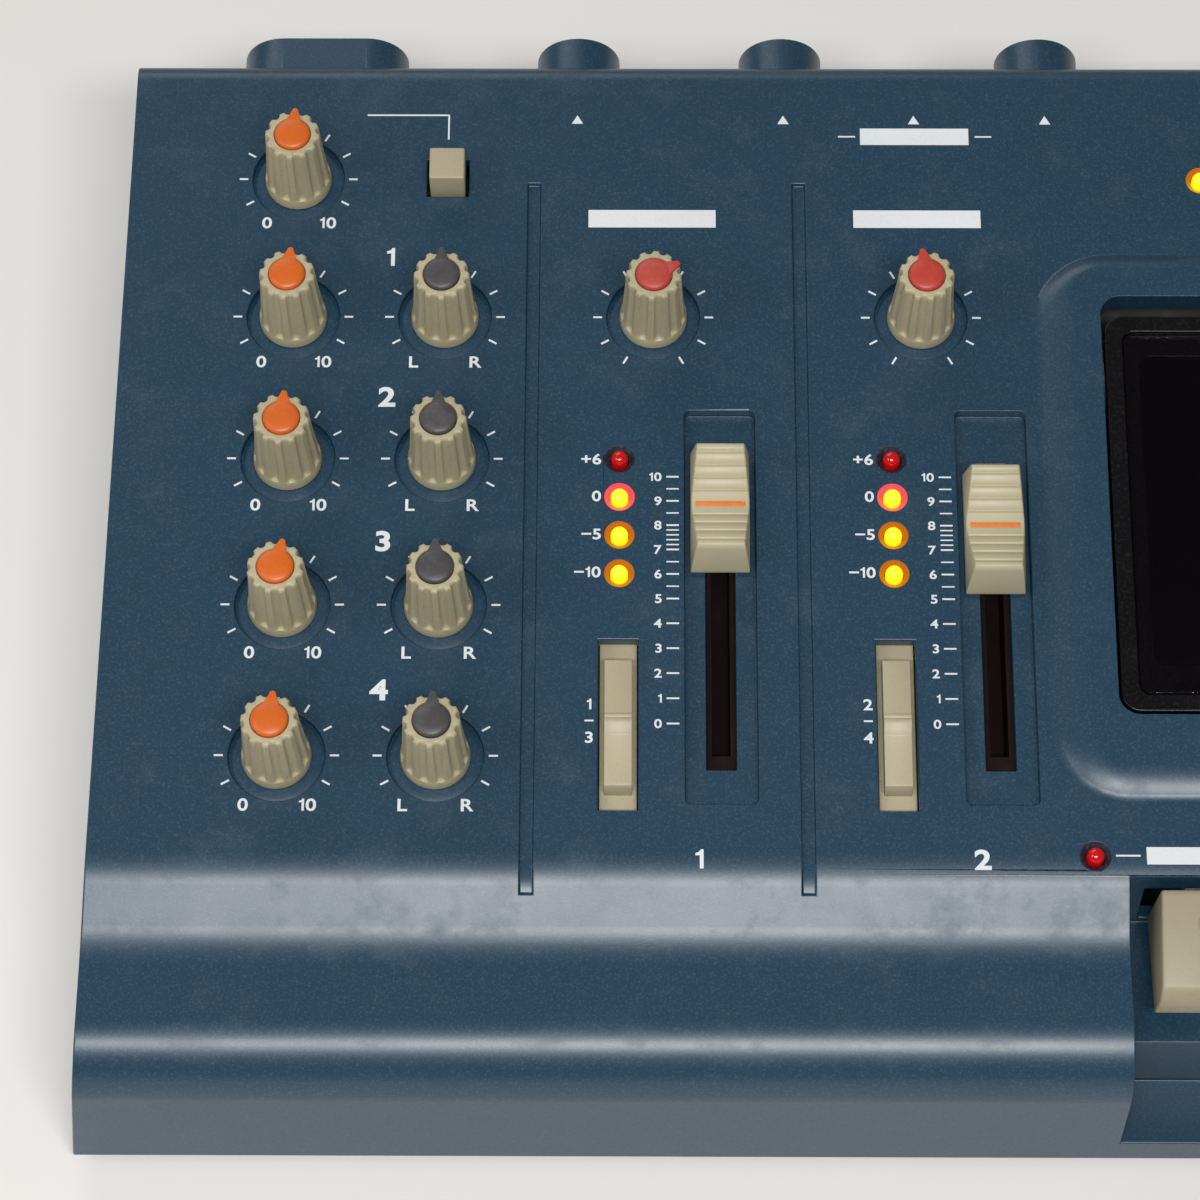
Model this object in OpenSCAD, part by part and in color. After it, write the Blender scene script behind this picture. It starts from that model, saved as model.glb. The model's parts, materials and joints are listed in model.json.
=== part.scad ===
// Table-top four-track cassette recorder: sloping mixer panel, cassette well, hinged lid, piano keys.
// Case frame: X from the left side, Y from the front face, Z up from the table.
// Panel frame: the same X, Y up the slope from the panel's front edge, Z out of the panel.

/* [Case] */
// Width of the output section, left edge to first divider
output_w = 71.7; // [65:0.1:95]
// Width of one input strip
strip_w = 46; // [38:0.1:60]
// Width of the tape deck section
deck_w = 136.3; // [132:0.1:170]
// Height of the panel's front edge over the table
shoulder_z = 43.9; // [42:0.1:56]
// Tilt of the panel, rear edge up
panel_tilt = 5; // [2:0.5:8]
// Depth from the front face to the panel's front edge
front_d = 34; // [32:0.5:44]
// Drop from the panel's front edge to the foot of the slope
slope_drop = 6.2; // [4:0.1:8]
// Length of the slope below the panel, seen from above
slope_run = 11.5; // [9:0.1:14]
// Fall of the palm rest from the slope to the front
palm_fall = 0.3; // [0:0.1:3]
// Radius of the rounded front edge
nose_r = 10.5; // [8:0.5:15]
// Radius of the rear top edge
rear_r = 4.5; // [2:0.5:6]
// Radius of the bends at both ends of the slope
bend_r = 15; // [8:0.5:18]
// Draft of the case's two ends, which spread towards the table
side_draft = 6; // [0:0.5:8]
// Wall of the top case
wall = 2.5; // [2:0.1:3.2]
// Thickness of the base plate
base_t = 2.4; // [2:0.1:3]
// Height of the rubber feet
foot_h = 3; // [2:0.5:6]
// Diameter of the rubber feet
foot_dia = 14; // [10:0.5:18]

/* [Knobs] */
// Distance between knob rows up the panel
row_pitch = 27.05; // [22:0.05:33]
// First knob row from the panel's front edge
first_row = 19.5; // [17:0.1:30]
// Rear margin behind the last knob row
rear_margin = 20.3; // [16:0.1:24]
// Level knob column from the left side
level_x = 30.5; // [22:0.1:34]
// Pan knob column from the level knobs
pan_dx = 26.1; // [22:0.1:30]
// Trim knob from its strip's left divider
trim_dx = 20.7; // [16:0.1:24]
// Diameter of a knob at its foot
knob_dia = 11.6; // [10:0.1:13]
// Diameter of a knob at its top
knob_top_dia = 9.4; // [8:0.1:10.5]
// Height of a knob
knob_h = 17; // [12:0.1:18]
// Diameter of a knob's coloured cap
cap_dia = 6.2; // [5:0.1:7.5]
// Diameter of the shallow dish round a knob
dish_dia = 16; // [14:0.1:19]
// Depth of the dish round a knob, at its edge
dish_depth = 1.3; // [0.9:0.1:1.5]
// Rise of the dish's floor towards the knob
dish_crown = 0.6; // [0.2:0.1:0.7]
// Diameter of a pot shaft
shaft_dia = 6; // [5:0.1:6.5]

/* [Faders and switches] */
// Fader travel, scale mark 0 to 10
fader_travel = 45; // [40:0.5:50]
// Fader centre line from its strip's left divider
fader_dx = 31.95; // [30:0.05:33]
// Middle of the fader travel up the panel
fader_y = 47.8; // [44:0.1:50]
// Width of the fader recess
fader_recess_w = 12; // [11:0.1:14]
// Length of the fader recess beyond the travel
fader_recess_over = 26.7; // [24:0.1:30]
// Width of the fader slot
fader_slot_w = 5; // [4:0.1:6]
// Length of the fader slot beyond the travel
fader_slot_over = 10.8; // [8:0.1:12]
// Depth of the fader recess
fader_recess_depth = 2.2; // [1:0.1:3]
// Length of a fader cap along its travel
fader_cap_l = 22; // [18:0.5:26]
// Height of a fader cap
fader_cap_h = 8; // [7:0.1:11]
// Depth of the finger dip in a fader cap
saddle_depth = 4; // [2:0.1:4.5]
// Switch window from its strip's left divider
switch_dx = 14.9; // [13:0.1:17]
// Width of the switch window
switch_w = 6.6; // [5:0.1:8]
// Length of the switch window
switch_l = 30.3; // [26:0.1:34]
// Step of the three-way switch
switch_step = 3; // [2:0.1:4]
// Width of the square button's hole
button_w = 7.3; // [6:0.1:9]
// Height of the square button over the panel
button_h = 5.4; // [4:0.1:9]
// Travel of the square button
button_travel = 3; // [2:0.1:4]
// Diameter of the small lamps
lamp_dia = 3; // [2.5:0.1:3.5]

/* [Cassette deck] */
// Length of a cassette
cassette_w = 100.4; // [100:0.1:101]
// Depth of a cassette
cassette_d = 63.8; // [63:0.1:64.5]
// Thickness of a cassette's body
cassette_t = 8.7; // [8.5:0.1:9]
// Thickness of a cassette at its tape edge
cassette_edge_t = 12; // [11.5:0.1:12.2]
// Distance between the reel centres
reel_pitch = 42.5; // [42:0.1:43]
// Lid border at each side of the cassette
lid_side = 6.5; // [6:0.1:10]
// Lid border in front of the cassette
lid_front = 8.1; // [7:0.1:12]
// Lid border behind the cassette
lid_rear = 1.6; // [1:0.1:4]
// Free slot behind the lid for its swing
lid_gap = 3.9; // [3.5:0.1:6]
// Front edge of the lid opening up the panel
lid_y = 26.5; // [24:0.1:30]
// Lid opening from the deck section's left edge
lid_dx = 5.4; // [5:0.1:14]
// Height of the lid over the panel
lid_rise = 2; // [0.8:0.1:2.4]
// Thickness of the lid frame
lid_t = 3; // [2.5:0.1:4]
// How far the head plate slides towards the tape
head_travel = 5; // [4:0.1:6]
// Diameter of the flywheel
flywheel_dia = 40; // [34:0.5:44]
// Diameter of the capstan
capstan_dia = 2; // [1.8:0.1:3]
// Diameter of the motor pulley
pulley_dia = 8; // [6:0.5:10]
// Diameter of the pinch roller
roller_dia = 12; // [10:0.5:13]

/* [Keys] */
// Number of piano keys
key_count = 6; // [5:1:6]
// Key recess side margin beside the first and last key
key_side = 3.8; // [2.5:0.1:5]
// Gap between keys
key_gap = 0.6; // [0.4:0.1:1]
// Depth of a key, rear to front
key_d = 17.6; // [15:0.1:20]
// Thickness of a key at its front
key_t = 6.5; // [5:0.1:8]
// Height of the recess ledge under the keys, over the table
ledge_z = 26; // [24:0.5:28]
// Diameter of the rod that the keys turn on
rod_dia = 4; // [3:0.1:5]

/* [Rear connectors] */
// Diameter of a connector boss
boss_dia = 14.7; // [13:0.1:16]
// Length of a connector boss behind the case
boss_l = 7; // [5:0.1:12]
// Height of the connector bosses over the table
boss_z = 46; // [44:0.1:47]
// Bore of a jack socket, for a 6.35 mm plug
jack_bore = 6.6; // [6.5:0.1:6.9]
// Depth of a jack socket
jack_depth = 30; // [28:0.5:32]
// Bore of a phono socket, for its 3.2 mm pin
phono_bore = 3.4; // [3.3:0.05:3.6]
// Distance between the phono sockets
phono_pitch = 14.6; // [13:0.1:16]
// Clearance between fixed pieces that fit together
fit_gap = 0.3; // [0.2:0.05:0.5]

/* [Hidden] */
$fn = 48;
far = 400;            // longer than the case, for cuts that run right through
bite = 0.2;           // how far a cut passes the face that it opens

// overall frame
strips = 2;
body_w = output_w + strips * strip_w + deck_w;
panel_l = first_row + 4 * row_pitch + rear_margin;
rear_y = front_d + panel_l * cos(panel_tilt) + rear_r;
overall_d = rear_y + boss_l;
palm_z = shoulder_z - slope_drop;
skirt_z = foot_h;
floor_z = foot_h + base_t;
rear_top_z = shoulder_z + (rear_y - front_d) * tan(panel_tilt);
case_corners = [
    [0, skirt_z, 0], [0, palm_z - palm_fall, nose_r], [front_d - slope_run, palm_z, bend_r],
    [front_d, shoulder_z, bend_r], [rear_y, rear_top_z, rear_r], [rear_y, skirt_z, 0]];
end_spread = shoulder_z * tan(side_draft);         // how far an end reaches out at the table
end_wall = wall / cos(side_draft);

// panel layout
function row_y(i) = first_row + (4 - i) * row_pitch;   // rows 1 to 4 towards the front, row 0 is phones
function strip_x(i) = output_w + (i - 1) * strip_w;
deck_x = output_w + strips * strip_w;
level_angles = [7, 5, 14, 6];     // pointers at rest, clockwise from the rear
pan_angles = [0, 0, 0, 3];
trim_angles = [65, -8];
phones_angle = 5;
fader_marks = [8.6, 7.75];        // scale marks that the faders rest at
fader_step = fader_travel / 10;
board_z = -15;                    // underside of the mixer board
board_t = 1.6;
board_top = board_z + board_t;
pot_w = 10;
pot_h = 6;
button_x = level_x + pan_dx;
button_y = row_y(0) + 0.3;
meter_dx = 15;                    // meter lamps from the strip's divider
meter_y = 52.4;                   // lowest meter lamp
meter_pitch = 7.06;
rec_lamp = [deck_x + 0.5, 2.25];
power_lamp = [deck_x + 24.1, row_y(0)];
lamp_ring = 5;                    // countersink round a lamp
divider_w = 2.2;                  // groove between two sections
divider_depth = 0.9;
divider_fall = 4.3;                // how far the groove runs down the slope
slope_tilt = atan2(slope_drop, slope_run);
switch_y = 25.2;
plate_t = 1;                      // slider plates of the three-way switches
fader_floor = 1.8;                // panel thickness under a fader recess
fader_recess_y = fader_y - 0.85;  // middle of the recess
fader_slot_y = fader_y - 1.9;      // middle of the slot
fader_slide_z = -fader_recess_depth - fader_floor;

// cassette well
lid_x = deck_x + lid_dx;
lid_w = cassette_w + 2 * lid_side;
lid_d = lid_front + cassette_d + lid_rear;
open_d = lid_d + lid_gap;
deck_cx = lid_x + lid_w / 2;
lid_clear = 0.4;
cassette_y = lid_y + lid_front;                    // tape edge of the cassette
lid_under = lid_rise - lid_t;
cassette_top = lid_under - 0.4;                    // top of the thick tape edge
edge_step = (cassette_edge_t - cassette_t) / 2;
cassette_mid = cassette_top - cassette_edge_t / 2;
cassette_bottom = cassette_top - cassette_edge_t;
edge_d = 15;                                       // depth of the thick tape edge
edge_w = 66;
shell_t = 1.4;
reel_y = cassette_y + 33.5;
hub_bore = 9.4;
spindle_dia = 5.6;
chassis_t = 1.2;
chassis_top = cassette_bottom - 1.6;
chassis_z = chassis_top - chassis_t;
post_dx = 3.6;                                     // chassis posts beside the lid opening
chassis_x = lid_x - 2 * post_dx;
chassis_w = lid_w + 4 * post_dx;
chassis_y = 18;
chassis_d = lid_y + open_d + 8 - chassis_y;
capstan_x = deck_cx + 26;
play_gap = 0.3;                                    // roller to capstan in play
head_reach = 1.4;                                  // free space before the tape edge at rest
roller_y = cassette_y - head_reach - roller_dia / 2;
capstan_y = roller_y + head_travel + (roller_dia + capstan_dia) / 2 + play_gap;
plate_gap = 0.4;
head_plate_z = chassis_top + plate_gap;
head_plate_t = 1.2;
head_floor = head_plate_z + head_plate_t;
head_h = 8.6;
hinge_y = lid_y + lid_d - 2.5;
hinge_z = lid_under - 1.6;
pin_dia = 3;
pin_gap = 0.1;
flywheel_t = 6;
flywheel_z = chassis_z - 3 - flywheel_t;
belt_z = flywheel_z + flywheel_t / 2;
belt_t = 1.2;
motor_dia = 28;
motor_h = 13;
motor_x = deck_cx - 28;
motor_y = reel_y + 16;
motor_z = flywheel_z - 1.5 - motor_h;

// keys
recess_x = lid_x + 0.7;
recess_w = lid_w - 1.4;
key_pitch = (recess_w - 2 * key_side + key_gap) / key_count;
key_w = key_pitch - key_gap;
recess_rear = front_d - 1;
key_rear = recess_rear - 1.6;
key_front = key_rear - key_d;
key_top = shoulder_z - 1.4;
key_fall = 4;
key_bottom = key_top - key_fall - key_t;
step_y = 11.3;                                     // front of the ledge under the keys
lip_z = 10;                                        // top of the low lip in front of the step
rod_y = front_d + 12;
rod_z = ledge_z + 7;
lever_w = 5;
lever_h = 6;

// rear connectors, from the left side
phono_x = level_x + 3.4;
jack_xs = [strip_x(1) + 7.4, strip_x(1) + 43.5, strip_x(2) + 20.4, strip_x(2) + 43.4];
flush_jack = 2;                                    // index of the jack without a boss
nose_dia = 9.4;
jack_w = 15;
jack_h = 11;
dc_x = body_w - 32;
dc_z = 24;
dc_dia = 9;
power_x = dc_x - 26;
power_travel = 4;
power_knob = 4.9;
power_slot = [power_knob + power_travel + 2.1, 5];

// tape counter
counter_x = deck_cx + 10;
counter_y = lid_y + open_d + 21;
wheel_dia = 13;
wheel_t = 4.6;
wheel_gap = 0.4;
wheel_count = 3;
counter_window = [wheel_count * (wheel_t + wheel_gap) + 1, 6.6];
counter_axis_z = -wall - 0.5 - wheel_dia / 2;
reset_x = counter_x + 20;
reset_dia = 6;

// fasteners
post_dia = 7;
screw_dia = 2.6;
post_inset = 8.5;
front_post_y = 12;
rear_post_y = rear_y - 9;
foot_inset = [26, 20];
rim_t = 1.6;                       // rim round the base plate
vent_count = 8;
vent_w = 2.4;
vent_pitch = 6;
vent_x = body_w * 0.3;
vent_span = [rear_y * 0.55, rear_y * 0.7];
base_posts = [
    [post_inset, front_post_y], [post_inset, rear_post_y], [deck_x - 3, front_post_y],
    [jack_xs[3] + jack_w, rear_post_y], [body_w - 6.5, foot_inset[1]], [body_w - post_inset, rear_post_y]];
board_posts = [
    [10, 8], [10, row_y(0) - 14], [strip_x(1) + 4, 8], [strip_x(2) + 4, 8],
    [strip_x(1) + 4, row_y(1) + 9], [strip_x(2) + 4, row_y(1) + 9]];
chassis_posts = [for (x = [lid_x - post_dx, lid_x + lid_w + post_dx])
    for (y = [chassis_y + 4, lid_y + open_d + 4]) [x, y]];

blue = [0.2, 0.29, 0.38];
beige = [0.62, 0.57, 0.45];
cream = [0.83, 0.79, 0.66];
orange = [0.93, 0.42, 0.15];
red = [0.82, 0.3, 0.26];
charcoal = [0.27, 0.27, 0.29];
steel = [0.72, 0.73, 0.75];

// ---- frames and shapes used again ----
module in_case() translate([-body_w / 2, -overall_d / 2, 0]) children();
module on_panel() in_case() translate([0, front_d, shoulder_z]) rotate([panel_tilt, 0, 0]) children();
module block(low, high) translate(low) cube(high - low);
module rod_x(x0, x1, y, z, d) translate([x0, y, z]) rotate([0, 90, 0]) cylinder(h = x1 - x0, d = d);
module rod_y(x, y0, y1, z, d) translate([x, y0, z]) rotate([-90, 0, 0]) cylinder(h = y1 - y0, d = d);
module peg(x, y, z0, z1, d) translate([x, y, z0]) cylinder(h = z1 - z0, d = d);
module stadium(w, d) {
    translate([-w / 2 + d / 2, -d / 2]) square([w - d, d]);
    for (x = [-1, 1]) translate([x * (w - d) / 2, 0]) circle(d = d);
}
module round_box(x, y, w, d, r, z0, z1) translate([x, y, z0]) linear_extrude(z1 - z0) union() {
    translate([r, 0]) square([w - 2 * r, d]);
    translate([0, r]) square([w, d - 2 * r]);
    for (i = [r, w - r]) for (j = [r, d - r]) translate([i, j]) circle(r = r);
}

// a corner with its two neighbours becomes an arc that meets both sides
function unit(v) = v / norm(v);
function turn(a, b) = (b - a + 540) % 360 - 180;
function arc_at(a, b, c, r, n) =
    let (u = unit(a - b), w = unit(c - b), h = acos(u * w) / 2,
         m = b + unit(u + w) * r / sin(h), p = b + u * r / tan(h) - m, q = b + w * r / tan(h) - m,
         s = atan2(p[1], p[0]), t = turn(s, atan2(q[1], q[0])))
    [for (i = [0:n]) m + r * [cos(s + t * i / n), sin(s + t * i / n)]];
function flat2(p) = [p[0], p[1]];
function rounded(list, n) = [for (i = [0:len(list) - 1]) each list[i][2] == 0 ? [flat2(list[i])] :
    arc_at(flat2(list[i - 1]), flat2(list[i]), flat2(list[i + 1]), list[i][2], n)];

// ---- case ----
module outline() polygon(rounded(case_corners, 14));
// what lies between the two drafted ends, drawn in by inset
module between_ends(inset) translate([0, far, 0]) rotate([90, 0, 0]) linear_extrude(2 * far) polygon([
    [inset - end_spread, 0], [body_w + end_spread - inset, 0],
    [body_w - end_spread - inset, 2 * shoulder_z], [inset + end_spread, 2 * shoulder_z]]);
module between_reach() along_x(-end_spread - 1, body_w + end_spread + 1) children();
module along_x(x0, x1) translate([x0, 0, 0]) rotate([90, 0, 90]) linear_extrude(x1 - x0) children();
module inner_outline() union() {
    offset(delta = -wall) outline();
    translate([wall, 0]) square([rear_y - 2 * wall, skirt_z + 2 * wall]);
}
module recess_outline(grow) union() {
    translate([step_y - grow, ledge_z - grow]) square([recess_rear - step_y + 2 * grow, far]);
    translate([-far, lip_z - grow]) square([far + step_y + grow, far]);
}
// a swell round the lid: steep at its foot, level at its top, with round corners
module deck_pad() {
    foot = [deck_x - 6, lid_y - 15];
    run = [lid_x - 4 - foot[0], 6.5];
    pad_end = lid_y + open_d + 9;
    side = (body_w - lid_x - lid_w) / 4;
    hull() for (u = [0:0.2:1]) round_box(foot[0] + run[0] * u, foot[1] + run[1] * u,
        body_w - side - foot[0] - (side + run[0]) * u, pad_end - foot[1] - (run[1] + 4) * u,
        13 - 9 * u, -wall, lid_rise * u * (2 - u), $fn = 32);
}
module jack_boss(x) rod_y(x, rear_y - wall, rear_y + boss_l, boss_z, boss_dia);
module upright(x, y) peg(x, y, floor_z, case_roof(y), post_dia);
function case_roof(y) = y < front_d - slope_run ? palm_z - palm_fall - 2 :
    shoulder_z + (y - front_d) * tan(panel_tilt) - 1;
module hinge_blocks() for (x = [lid_x - 7, lid_x + lid_w + 1])
    block([x, hinge_y - 4, hinge_z - 3.5], [x + 6, hinge_y + 4, -wall + bite]);

module top_case() color(blue) difference() {
    union() {
        difference() {
            in_case() intersection() {
                between_reach() outline();
                between_ends(0);
            }
            in_case() intersection() {
                between_reach() inner_outline();
                between_ends(end_wall);
            }
        }
        in_case() intersection() {
            along_x(recess_x - wall, recess_x + recess_w + wall) recess_outline(wall);
            along_x(recess_x - wall, recess_x + recess_w + wall) outline();
        }
        in_case() for (i = [0:3]) if (i != flush_jack) jack_boss(jack_xs[i]);
        in_case() translate([phono_x, rear_y - wall, boss_z]) rotate([-90, 0, 0])
            linear_extrude(wall + boss_l) stadium(phono_pitch + boss_dia, boss_dia);
        in_case() for (p = base_posts) upright(p[0], p[1]);
        on_panel() {
            deck_pad();
            hinge_blocks();
            for (p = board_posts) peg(p[0], p[1], board_top, -wall + bite, post_dia);
            for (p = chassis_posts) peg(p[0], p[1], chassis_top, -wall + bite, post_dia - 1);
            for (i = [1:strips]) fader_pocket(i);
        }
    }
    case_cuts();
    on_panel() panel_cuts();
}
module fader_pocket(i) {
    w = fader_recess_w / 2 + fader_floor;
    l = (fader_travel + fader_recess_over) / 2 + fader_floor;
    x = strip_x(i) + fader_dx;
    block([x - w, fader_recess_y - l, fader_slide_z], [x + w, fader_recess_y + l, -wall + bite]);
}
module case_cuts() in_case() {
    along_x(recess_x, recess_x + recess_w) recess_outline(0);
    block([recess_x + key_side - 1, recess_rear - bite, rod_z - lever_h],
        [recess_x + recess_w - key_side + 1, recess_rear + wall + bite, key_top - 4]);
    for (i = [0:3])
        rod_y(jack_xs[i], rear_y - wall - bite, overall_d + bite, boss_z, nose_dia + 2 * fit_gap);
    translate([phono_x, rear_y, boss_z]) rotate([-90, 0, 0])
        linear_extrude(boss_l + bite) stadium(phono_pitch + boss_dia - 2.8, boss_dia - 2.8);
    for (s = [-0.5, 0.5]) rod_y(phono_x + s * phono_pitch, rear_y - wall - bite, rear_y + bite, boss_z,
        phono_sleeve + 2 * fit_gap);
    rod_y(dc_x, rear_y - wall - bite, rear_y + bite, dc_z, dc_dia + 2 * fit_gap);
    block([power_x - power_slot[0] / 2, rear_y - wall - bite, dc_z - power_slot[1] / 2],
        [power_x + power_slot[0] / 2, rear_y + bite, dc_z + power_slot[1] / 2]);
    for (p = base_posts) peg(p[0], p[1], floor_z - bite, floor_z + 12, screw_dia);
}
module panel_cuts() {
    for (k = knobs) {
        knob_dish(k[0], k[1]);
        peg(k[0], k[1], -wall - 1, 0, shaft_dia + 2.4);
    }
    for (i = [1:strips]) {
        x = strip_x(i);
        divider_groove(x);
        round_box(x + fader_dx - fader_recess_w / 2, fader_recess_y - (fader_travel + fader_recess_over) / 2,
            fader_recess_w, fader_travel + fader_recess_over, 1, -fader_recess_depth, 1);
        block([x + fader_dx - fader_slot_w / 2, fader_slot_y - (fader_travel + fader_slot_over) / 2, -8],
            [x + fader_dx + fader_slot_w / 2, fader_slot_y + (fader_travel + fader_slot_over) / 2, 1]);
        block([x + switch_dx - switch_w / 2, switch_y - switch_l / 2, -wall - bite],
            [x + switch_dx + switch_w / 2, switch_y + switch_l / 2, 1]);
    }
    for (p = all_lamps) lamp_hole(p);
    block([button_x - button_w / 2, button_y - button_w / 2, -wall - bite],
        [button_x + button_w / 2, button_y + button_w / 2, 1]);
    round_box(lid_x, lid_y, lid_w, open_d, 3.5, -wall - bite, lid_rise + 1);
    rod_x(lid_x - 8, lid_x + 1, hinge_y, hinge_z, pin_dia + 2 * pin_gap);
    rod_x(lid_x + lid_w - 1, lid_x + lid_w + 8, hinge_y, hinge_z, pin_dia + 2 * pin_gap);
    block([counter_x - counter_window[0] / 2, counter_y - counter_window[1] / 2, -wall - bite],
        [counter_x + counter_window[0] / 2, counter_y + counter_window[1] / 2, 1]);
    peg(reset_x, counter_y, -wall - bite, 1, reset_dia + 2 * fit_gap);
    for (p = board_posts) peg(p[0], p[1], board_top - bite, board_top + 6, screw_dia);
    for (p = chassis_posts) peg(p[0], p[1], chassis_top - bite, chassis_top + 6, screw_dia);
}
// a round dish with a low cone in it, which the knob stands over
dish_floor = -dish_depth + dish_crown;
module knob_dish(x, y) translate([x, y, 0]) rotate_extrude() polygon([
    [0, dish_floor], [knob_dia / 2 + 0.4, dish_floor],
    [dish_dia / 2, -dish_depth], [dish_dia / 2, 1], [0, 1]]);
// over the panel's front edge and down the slope
module divider_groove(x) {
    block([x - divider_w / 2, 0, -divider_depth], [x + divider_w / 2, row_y(0) - 0.7, 1]);
    rotate([slope_tilt - panel_tilt, 0, 0])
        block([x - divider_w / 2, -divider_fall, -divider_depth], [x + divider_w / 2, divider_w / 4, 1]);
}
knobs = concat(
    [for (i = [0:4]) [level_x, row_y(i)]], [for (i = [1:4]) [level_x + pan_dx, row_y(i)]],
    [for (i = [1:strips]) [strip_x(i) + trim_dx, row_y(1)]]);
function meter(i, k) = [strip_x(i) + meter_dx, meter_y + k * meter_pitch];
red_spots = concat([for (i = [1:strips]) for (k = [2, 3]) meter(i, k)], [rec_lamp]);
amber_spots = concat([for (i = [1:strips]) for (k = [0, 1]) meter(i, k)], [power_lamp]);
all_lamps = concat(red_spots, amber_spots);
module lamp_hole(p) {
    peg(p[0], p[1], -wall - bite, 1, lamp_dia + 2 * fit_gap);
    translate([p[0], p[1], -1]) cylinder(h = 1.1, d1 = lamp_dia + 2 * fit_gap, d2 = lamp_ring);
}
module lamps(spots) on_panel() for (p = spots) {
    peg(p[0], p[1], -wall - 3, 0.2, lamp_dia);
    translate([p[0], p[1], 0.2]) intersection() {
        sphere(d = lamp_dia);
        cylinder(h = lamp_dia, d = lamp_dia + 1);
    }
    peg(p[0], p[1], -wall - 4, -wall - 3, lamp_dia + 0.8);
}

module bottom_case() color(blue) in_case() difference() {
    union() {
        base_block(0, floor_z);
        difference() {
            base_block(0, lip_z - wall - fit_gap);
            base_block(rim_t, lip_z);
        }
    }
    for (p = base_posts) {
        peg(p[0], p[1], skirt_z - bite, floor_z + bite, screw_dia + 0.6);
        peg(p[0], p[1], skirt_z - bite, skirt_z + 1.2, 6.4);
        peg(p[0], p[1], floor_z, far, post_dia + 2 * fit_gap);
    }
    for (i = [0:vent_count - 1]) block([vent_x + i * vent_pitch, vent_span[0], skirt_z - bite],
        [vent_x + i * vent_pitch + vent_w, vent_span[1], floor_z + bite]);
}
// fills the case between its walls, less the fit gap and an inset
module base_block(inset, top) intersection() {
    edge = wall + fit_gap + inset;
    block([-end_spread, edge, skirt_z], [body_w + end_spread, rear_y - edge, top]);
    between_ends(end_wall + fit_gap + inset);
}
module feet() color([0.12, 0.12, 0.13]) in_case()
    for (x = [foot_inset[0], body_w - foot_inset[0]]) for (y = [foot_inset[1], rear_y - foot_inset[1]])
        translate([x, y, 0]) rotate_extrude() polygon([
            [0, 0], [foot_dia / 2 - 1.5, 0], [foot_dia / 2, 1.5], [foot_dia / 2, foot_h], [0, foot_h]]);
module case_screws() color(steel) in_case() for (p = base_posts) {
    peg(p[0], p[1], skirt_z + 0.1, skirt_z + 1.2, 5.6);
    peg(p[0], p[1], skirt_z + 1.2, floor_z + 9, screw_dia - 0.2);
}
module inner_screws() color(steel) on_panel() {
    for (p = board_posts) screw_up(p, board_z, board_top + 5);
    for (p = chassis_posts) screw_up(p, chassis_z, chassis_top + 5);
}
module screw_up(p, z, tip) {
    peg(p[0], p[1], z - 1.6, z, 4.6);
    peg(p[0], p[1], z, tip, screw_dia - 0.2);
}

// ---- mixer board and what it carries ----
module main_board() color([0.15, 0.4, 0.22]) on_panel() difference() {
    translate([0, 0, board_z]) linear_extrude(board_t) polygon([
        [wall + 2, 3], [deck_x - 5, 3], [deck_x - 5, row_y(0) - 13], [strip_x(1) - 4, row_y(0) - 13],
        [strip_x(1) - 4, row_y(0) + 6], [wall + 2, row_y(0) + 6]]);
    for (p = board_posts) peg(p[0], p[1], board_z - 1, board_top + 1, screw_dia + 0.4);
}
module pot_bodies() color(steel) on_panel() for (k = knobs) union() {
    block([k[0] - pot_w / 2, k[1] - pot_w / 2, board_top],
        [k[0] + pot_w / 2, k[1] + pot_w / 2, board_top + pot_h]);
    peg(k[0], k[1], board_top + pot_h, -wall, shaft_dia + 1.6);
    peg(k[0], k[1], -wall, knob_h - 5.5, shaft_dia);
}
slide_top = fader_slide_z - fit_gap;
slide_w = 9;
module slide_pots() color(steel) on_panel() for (i = [1:strips]) {
    x = strip_x(i) + fader_dx;
    l = (fader_travel + 16) / 2;
    difference() {
        block([x - slide_w / 2, fader_y - l, board_top], [x + slide_w / 2, fader_y + l, slide_top]);
        block([x - 1.5, fader_y - fader_travel / 2 - 4, board_top + 1.5],
            [x + 1.5, fader_y + fader_travel / 2 + 4, slide_top + 1]);
    }
}
switch_plate_z = -wall - fit_gap - plate_t;
module switch_bodies() color(charcoal) on_panel() {
    for (i = [1:strips]) {
        x = strip_x(i) + switch_dx;
        block([x - 4.5, switch_y - 12, board_top], [x + 4.5, switch_y + 12, switch_plate_z - fit_gap]);
    }
    block([button_x - 4, button_y - 4, board_top], [button_x + 4, button_y + 4, -wall - button_travel - 1.2]);
}
module red_lamps() color([0.8, 0.1, 0.1]) lamps(red_spots);
module amber_lamps() color([1, 0.75, 0.1]) lamps(amber_spots);

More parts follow.
